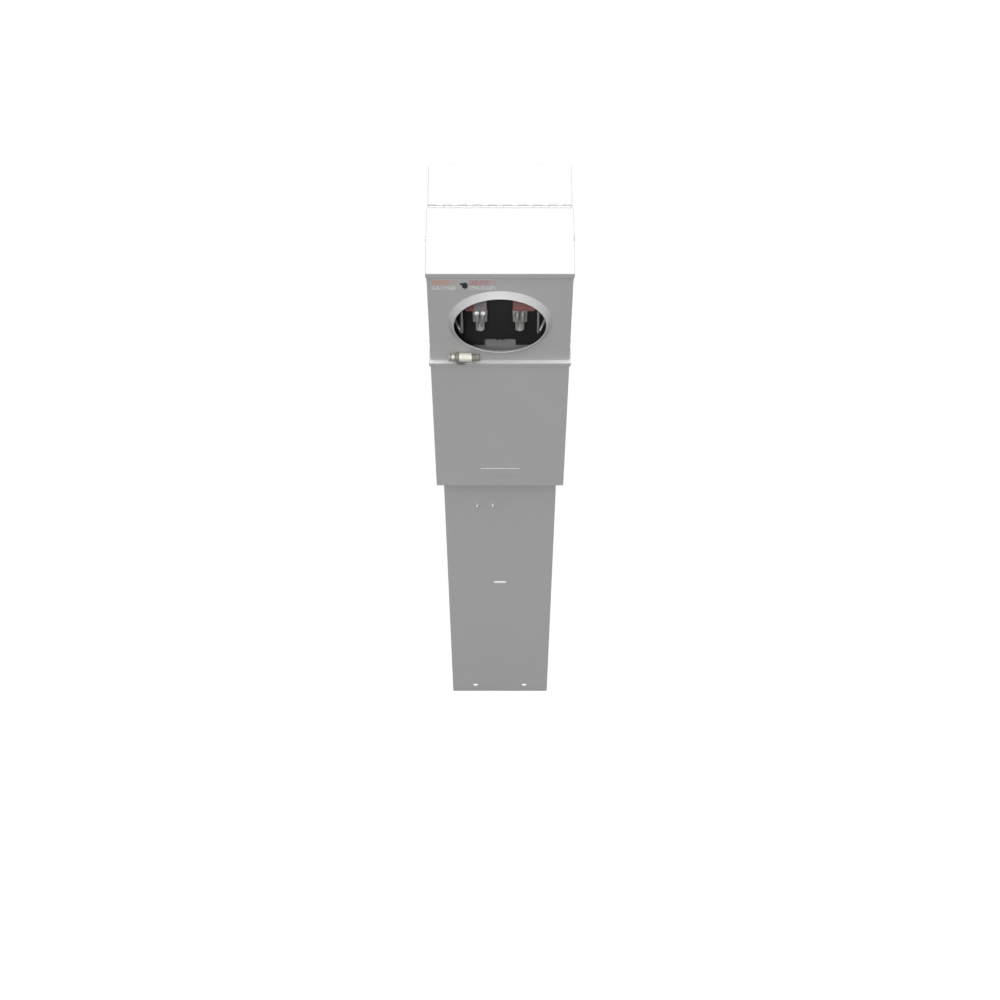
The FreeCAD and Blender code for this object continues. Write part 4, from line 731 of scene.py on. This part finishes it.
# ---------------------------------------------------------------- operators
class PEDESTAL_OT_finish_parts(bpy.types.Operator):
    """Gives every carried-over part the finish of its material slot."""

    bl_idname = "pedestal.finish_parts"
    bl_label = "Finish all parts"

    def execute(self, context):
        MATERIALS.clear()
        MATERIALS.update(build_materials())
        for row in frame["record"]["subparts"]:
            part = frame["nodes"][row["node"]]
            for holder in part.material_slots:
                holder.material = MATERIALS[row["material_slot"]]
        return {"FINISHED"}


class PEDESTAL_OT_latch_knob(bpy.types.Operator):
    """Adds the pull knob of the latch bolt: a knurled rim, a neck and a ball, turned about the bolt.

    The ball's radius at each place is the square root of its radius squared less the distance from its middle
    squared. The knurls are a cosine around the rim that fades out at both its edges.
    """

    bl_idname = "pedestal.latch_knob"
    bl_label = "Latch knob"

    def execute(self, context):
        shapes = context.scene.pedestal_shapes
        low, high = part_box("latch_knob")
        centre = centre_of("latch_knob")
        rim = (high.z - low.z) / 2
        width = shapes.knob_rim
        ball = shapes.knob_ball
        cut = 0.65 * ball
        middle = high.x - cut
        neck = 0.62 * ball
        edge = 0.18 * rim
        disc = rounded_rim(low.x, low.x + width, rim, edge, 6)
        first = math.asin(neck / ball)
        bend = np.linspace(first, math.pi - math.acos(cut / ball), 24)
        round_part = np.stack([middle - ball * np.cos(bend), ball * np.sin(bend)], axis=1)
        profile = np.vstack([[(low.x, 0.4 * rim)], disc, [(low.x + width, neck)], round_part])

        def ridges(along, turn):
            """Ridges across the rim that fade out at its edges and are absent from the neck and ball."""
            share = (along - low.x - width / 2) / (width / 2 - 0.5 * edge)
            fade = np.clip(1.0 - share ** 4, 0.0, 1.0)
            return shapes.knurl_depth * fade * (np.cos(shapes.knurl_count * turn) - 1.0)

        points = turned(profile, centre, 4 * shapes.knurl_count, 0, ridges)
        mesh = grid_mesh("knob", points, pole_start=True, pole_end=True)
        add_piece("latch_knob_ball", [mesh], "latch_bolt", "latch_steel", ("latch_knob",))
        return {"FINISHED"}


class PEDESTAL_OT_latch_barrel(bpy.types.Operator):
    """Adds the latch barrel: a tube about the bolt with rounded rims, room inside and a shallow groove.

    The groove lowers the radius by its depth times a bell curve of the angle from the groove's middle.
    """

    bl_idname = "pedestal.latch_barrel"
    bl_label = "Latch barrel"

    def execute(self, context):
        shapes = context.scene.pedestal_shapes
        low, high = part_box("latch_barrel")
        centre = centre_of("latch_barrel")
        outer = (high.z - low.z) / 2
        bore = 0.4 * outer
        edge = 0.0012
        bolt_low, bolt_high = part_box("latch_bolt")
        room = (bolt_high.z - bolt_low.z) / 2 + 0.0003
        inner = [(high.x, bore), (high.x - edge, bore), (high.x - edge, room),
                 (low.x + 2 * edge, room), (low.x + 2 * edge, bore), (low.x, bore)]
        profile = np.vstack([rounded_rim(low.x, high.x, outer, edge, 24), inner])
        groove_at = math.radians(120.0)
        groove_from = low.x + 0.0035

        def groove(along, turn):
            """The groove, from a little inside one rim to the other, on the outside only."""
            away = np.abs((turn - groove_at + math.pi) % (2.0 * math.pi) - math.pi)
            bell = np.exp(-(away * outer / shapes.groove_width) ** 2)
            inside = (along > groove_from) & (along < high.x - 1.05 * edge)
            return -shapes.groove_depth * bell * inside

        points = turned(profile, centre, 96, 0, groove)
        mesh = grid_mesh("barrel", points, closed_u=True)
        add_piece("latch_barrel_grooved", [mesh], "pedestal", "polished_metal", ("latch_barrel",))
        return {"FINISHED"}


class PEDESTAL_OT_jaws(bpy.types.Operator):
    """Adds the two lower meter jaws: a block with two rounded fingers and a gap for the meter's blade.

    A finger is a rounded-square section, the signed powers of cosine and sine, that shrinks like a quarter
    ellipse towards its top and bottom. A block is the same shape with a squarer section and short round ends.
    """

    bl_idname = "pedestal.jaws"
    bl_label = "Meter jaws"

    def execute(self, context):
        shapes = context.scene.pedestal_shapes
        low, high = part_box("load_jaws")
        half_width = shapes.jaw_width / 2
        root = high.y - shapes.jaw_root
        foot = low.z - shapes.jaw_drop
        finger_half = (shapes.finger_width / 2, (root + 0.001 - low.y) / 2)
        finger_offset = (shapes.finger_gap + shapes.finger_width) / 2
        shoulder_half = (0.0031, 0.0042)
        shoulder_offset = half_width - 0.0032
        pad_half = (0.0050, 0.0050, 0.0015)
        pad_offset = 0.0056
        meshes = []
        for side in (-1, 1):
            middle = side * (high.x - half_width)
            block_half = (half_width, (high.y - root) / 2)
            meshes.append(self.bar((middle, (root + high.y) / 2), block_half, (foot, high.z), 0.18, 0.0012))
            for way in (-1, 1):
                finger = (middle + way * finger_offset, low.y + finger_half[1])
                meshes.append(self.bar(finger, finger_half, (low.z - 0.0015, high.z), 0.70, 0.0070))
                shoulder = (middle + way * shoulder_offset, root - 0.0028)
                meshes.append(self.bar(shoulder, shoulder_half, (foot, high.z - 0.003), 0.5, 0.0016))
        left = half_width - high.x
        for way in (-1, 1):
            place = (left + way * pad_offset, low.y + pad_offset, high.z - 0.0012)
            meshes.append(self.pad(place, pad_half))
        add_piece("load_jaw_fingers", meshes, "pedestal", "tinned_metal", ("load_jaws",))
        return {"FINISHED"}

    def pad(self, centre, half):
        """A flat rounded pad that leans 30 degrees to the front: a squared ellipsoid turned about X."""
        turn = np.linspace(0.0, 2.0 * math.pi, 28, endpoint=False)
        rise = np.linspace(-math.pi / 2, math.pi / 2, 13)[1:-1]
        ring = np.abs(np.cos(rise))[:, None] ** 0.35
        across = half[0] * ring * np.cos(turn)
        deep = half[1] * ring * np.sin(turn)
        up = half[2] * np.sin(rise)[:, None] + 0.0 * turn
        lean = math.radians(30.0)
        points = np.empty((len(rise), len(turn), 3))
        points[..., 0] = centre[0] + across
        points[..., 1] = centre[1] + deep * math.cos(lean) - up * math.sin(lean)
        points[..., 2] = centre[2] + deep * math.sin(lean) + up * math.cos(lean)
        return grid_mesh("pad", points, pole_start=True, pole_end=True)

    def bar(self, centre, half, heights, power, dome):
        """An upright bar with a rounded-square section and rounded ends."""
        turn = np.linspace(0.0, 2.0 * math.pi, 40, endpoint=False)
        across = np.sign(np.cos(turn)) * np.abs(np.cos(turn)) ** power
        deep = np.sign(np.sin(turn)) * np.abs(np.sin(turn)) ** power
        bend = np.linspace(0.0, math.pi / 2, 8)
        low, high = heights
        rise = dome * (1 - np.cos(bend))
        inset = min(half[0], dome) * 0.92 * (1 - np.sin(bend))
        levels = np.concatenate([low + rise, high - rise[::-1]])
        inset = np.concatenate([inset, inset[::-1]])
        points = np.empty((len(levels), len(turn), 3))
        points[..., 0] = centre[0] + (half[0] - inset[:, None]) * across
        points[..., 1] = centre[1] + (half[1] - inset[:, None]) * deep
        points[..., 2] = levels[:, None]
        return grid_mesh("bar", points, pole_start=True, pole_end=True)


class PEDESTAL_OT_hinge_seal(bpy.types.Operator):
    """Adds the lid's seal: a strip behind each fixed knuckle and a round boss at each end of the hinge.

    The knuckles have equal lengths and gaps along the pin, and every second one is fixed. A strip stands in
    the lid's notch, a little below the top and just clear of the knuckle's radius. A boss is a disc about
    the pin's axis.
    """

    bl_idname = "pedestal.hinge_seal"
    bl_label = "Hinge seal"

    def execute(self, context):
        shapes = context.scene.pedestal_shapes
        low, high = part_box("lid_hinge_pin")
        axis = centre_of("lid_hinge_pin")
        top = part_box("rear_lid")[1].z
        radius = top - axis.z
        pitch = (high.x - low.x + shapes.knuckle_gap) / shapes.knuckle_count
        meshes = []
        for index in range(0, shapes.knuckle_count, 2):
            start = low.x + index * pitch
            end = start + pitch - shapes.knuckle_gap
            meshes.append(self.strip(start, end, axis.y + radius + 0.00006, axis.y + radius + 0.00045,
                                     top - 0.002, top - 0.0012))
        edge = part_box("rear_lid")[1].x
        profile = np.array([(high.x + 0.0001, radius - 0.0003), (high.x + 0.0003, radius - 0.00005),
                            (edge - 0.0004, radius - 0.00005), (edge - 0.0001, radius - 0.0003)])
        for side in (-1, 1):
            sided = profile * (side, 1.0)
            points = turned(sided, axis, 40)
            meshes.append(grid_mesh("boss", points, pole_start=True, pole_end=True))
        add_piece("lid_hinge_seal", meshes, "rear_lid", "painted_steel")
        return {"FINISHED"}

    def strip(self, x0, x1, y0, y1, z0, z1):
        """A straight bar between two places along X with a rectangular section."""
        ring = np.array([(y0, z0), (y1, z0), (y1, z1), (y0, z1)])
        points = np.empty((2, 4, 3))
        points[0, :, 0] = x0
        points[1, :, 0] = x1
        points[..., 1:] = ring
        return grid_mesh("strip", points, pole_start=True, pole_end=True)


class PEDESTAL_OT_meter_guides(bpy.types.Operator):
    """Adds the two bent wires that centre the meter.

    A wire's path is three straight runs joined by arcs that touch both runs, with a circle swept along it.
    """

    bl_idname = "pedestal.meter_guides"
    bl_label = "Meter guide wires"

    def execute(self, context):
        shapes = context.scene.pedestal_shapes
        low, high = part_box("meter_guides")
        radius = shapes.guide_radius
        middle = (low.z + high.z) / 2
        straight = (high.z - low.z) / 2 - radius
        foot = shapes.guide_foot
        wires = []
        for side in (-1, 1):
            inner = side * shapes.guide_spacing
            outer = side * (high.x - radius)
            front = low.y + radius
            corners = [(outer, high.y, middle - foot), (inner, front, middle - straight),
                       (inner, front, middle + straight), (outer, high.y, middle + foot)]
            path = rounded_path(corners, shapes.guide_bend)
            wires.append(grid_mesh("wire", tube(path, radius), pole_start=True, pole_end=True))
        add_piece("meter_guide_wires", wires, "pedestal", "spring_steel", ("meter_guides",))
        return {"FINISHED"}


class PEDESTAL_OT_stage(bpy.types.Operator):
    """Adds the floor, the light and the camera."""

    bl_idname = "pedestal.stage"
    bl_label = "Stage"

    def execute(self, context):
        scene = context.scene
        stage = scene.pedestal_stage
        self.floor()
        self.world(scene, stage)
        for name, towards, spread in LAMPS:
            self.lamp(name, towards, getattr(stage, name), spread)
        camera = bpy.data.objects.new("camera", bpy.data.cameras.new("camera"))
        scene.collection.objects.link(camera)
        scene.camera = camera
        camera.data.sensor_width = 36.0
        camera.data.lens = stage.lens
        camera.data.clip_end = 100.0
        height = CAD_BOX[1].z / 2
        back = stage.distance * math.cos(stage.elevation)
        camera.location = (0.0, stage.target_y - back, height + stage.distance * math.sin(stage.elevation))
        camera.rotation_euler = (math.pi / 2 - stage.elevation, 0.0, 0.0)
        scene.view_settings.view_transform = "Standard"
        scene.view_settings.look = "None"
        return {"FINISHED"}

    def floor(self):
        """A wide flat floor just under the post, white to the eye from above and clear from below."""
        line = np.linspace(-FLOOR_HALF, FLOOR_HALF, 9)
        x, y = np.meshgrid(line, line, indexing="ij")
        points = np.stack([x, y, np.full_like(x, FLOOR_Z)], axis=-1)
        mesh = grid_mesh("floor", points, closed_v=False)
        floor = bpy.data.objects.new("floor", mesh)
        bpy.context.scene.collection.objects.link(floor)
        material = bpy.data.materials.new("white_floor")
        material.use_nodes = True
        material.node_tree.nodes.clear()
        tree = Tree(material.node_tree)
        matt = tree.add("ShaderNodeBsdfDiffuse")
        matt.inputs["Color"].default_value = (FLOOR_GREY, FLOOR_GREY, FLOOR_GREY, 1.0)
        white = tree.add("ShaderNodeEmission")
        white.inputs["Strength"].default_value = WHITE_TO_THE_EYE
        seen = tree.add("ShaderNodeLightPath").outputs["Is Camera Ray"]
        mixed = tree.add("ShaderNodeMixShader")
        tree.put(mixed, 0, seen)
        tree.put(mixed, 1, matt.outputs[0])
        tree.put(mixed, 2, white.outputs[0])
        clear = tree.add("ShaderNodeMixShader")
        tree.put(clear, 0, tree.add("ShaderNodeNewGeometry").outputs["Backfacing"])
        tree.put(clear, 1, mixed.outputs[0])
        tree.put(clear, 2, tree.add("ShaderNodeBsdfTransparent").outputs[0])
        tree.put(tree.add("ShaderNodeOutputMaterial"), "Surface", clear.outputs[0])
        floor.data.materials.append(material)

    def world(self, scene, stage):
        """Soft light that grows towards straight above, and plain white to the eye past the floor.

        The strength is the sky plus the zenith times the fourth power of the height of the direction, above
        the horizon only.
        """
        world = bpy.data.worlds.new("studio")
        world.use_nodes = True
        world.node_tree.nodes.clear()
        tree = Tree(world.node_tree)
        seen = tree.add("ShaderNodeLightPath").outputs["Is Camera Ray"]
        sky = tree.add("ShaderNodeBackground")
        direction = tree.add("ShaderNodeSeparateXYZ")
        tree.put(direction, 0, tree.add("ShaderNodeTexCoord").outputs["Generated"])
        height = tree.math("MAXIMUM", direction.outputs["Z"], 0.0)
        glow = tree.math("MULTIPLY", tree.math("POWER", height, 4.0), stage.zenith)
        dome = tree.math("ADD", glow, stage.sky)
        tree.put(sky, "Strength", tree.remap(seen, 0.0, 1.0, dome, WHITE_TO_THE_EYE))
        tree.put(tree.add("ShaderNodeOutputWorld"), "Surface", sky.outputs[0])
        sky.inputs["Color"].default_value = (1.0, 1.0, 1.0, 1.0)
        scene.world = world

    def lamp(self, name, towards, strength, spread):
        """A distant lamp that shines from the given side."""
        lamp = bpy.data.objects.new(name, bpy.data.lights.new(name, "SUN"))
        lamp.data.energy = strength
        lamp.data.angle = math.radians(spread)
        bpy.context.scene.collection.objects.link(lamp)
        lamp.location = Vector(towards).normalized() * 6.0
        lamp.rotation_euler = Vector(towards).to_track_quat("Z", "Y").to_euler()


OPERATORS = (
    PEDESTAL_OT_finish_parts,
    PEDESTAL_OT_latch_knob,
    PEDESTAL_OT_latch_barrel,
    PEDESTAL_OT_jaws,
    PEDESTAL_OT_hinge_seal,
    PEDESTAL_OT_meter_guides,
    PEDESTAL_OT_stage,
)


class PEDESTAL_PT_sidebar(bpy.types.Panel):
    """Lists the pieces of the pedestal."""

    bl_label = "Pedestal"
    bl_space_type = "VIEW_3D"
    bl_region_type = "UI"
    bl_category = "Pedestal"

    def draw(self, context):
        for operator in OPERATORS:
            self.layout.operator(operator.bl_idname)


def register():
    """Adds the settings, the operators and the panel."""
    for name, group in SETTINGS.items():
        bpy.utils.register_class(group)
        setattr(bpy.types.Scene, name, bpy.props.PointerProperty(type=group))
    for operator in OPERATORS:
        bpy.utils.register_class(operator)
    bpy.utils.register_class(PEDESTAL_PT_sidebar)


def unregister():
    """Takes the settings, the operators and the panel away again."""
    bpy.utils.unregister_class(PEDESTAL_PT_sidebar)
    for operator in reversed(OPERATORS):
        bpy.utils.unregister_class(operator)
    for name, group in SETTINGS.items():
        delattr(bpy.types.Scene, name)
        bpy.utils.unregister_class(group)


def main():
    """Makes every piece and the stage."""
    register()
    for operator in OPERATORS:
        area, action = operator.bl_idname.split(".")
        getattr(getattr(bpy.ops, area), action)()


if __name__ == "__main__":
    main()
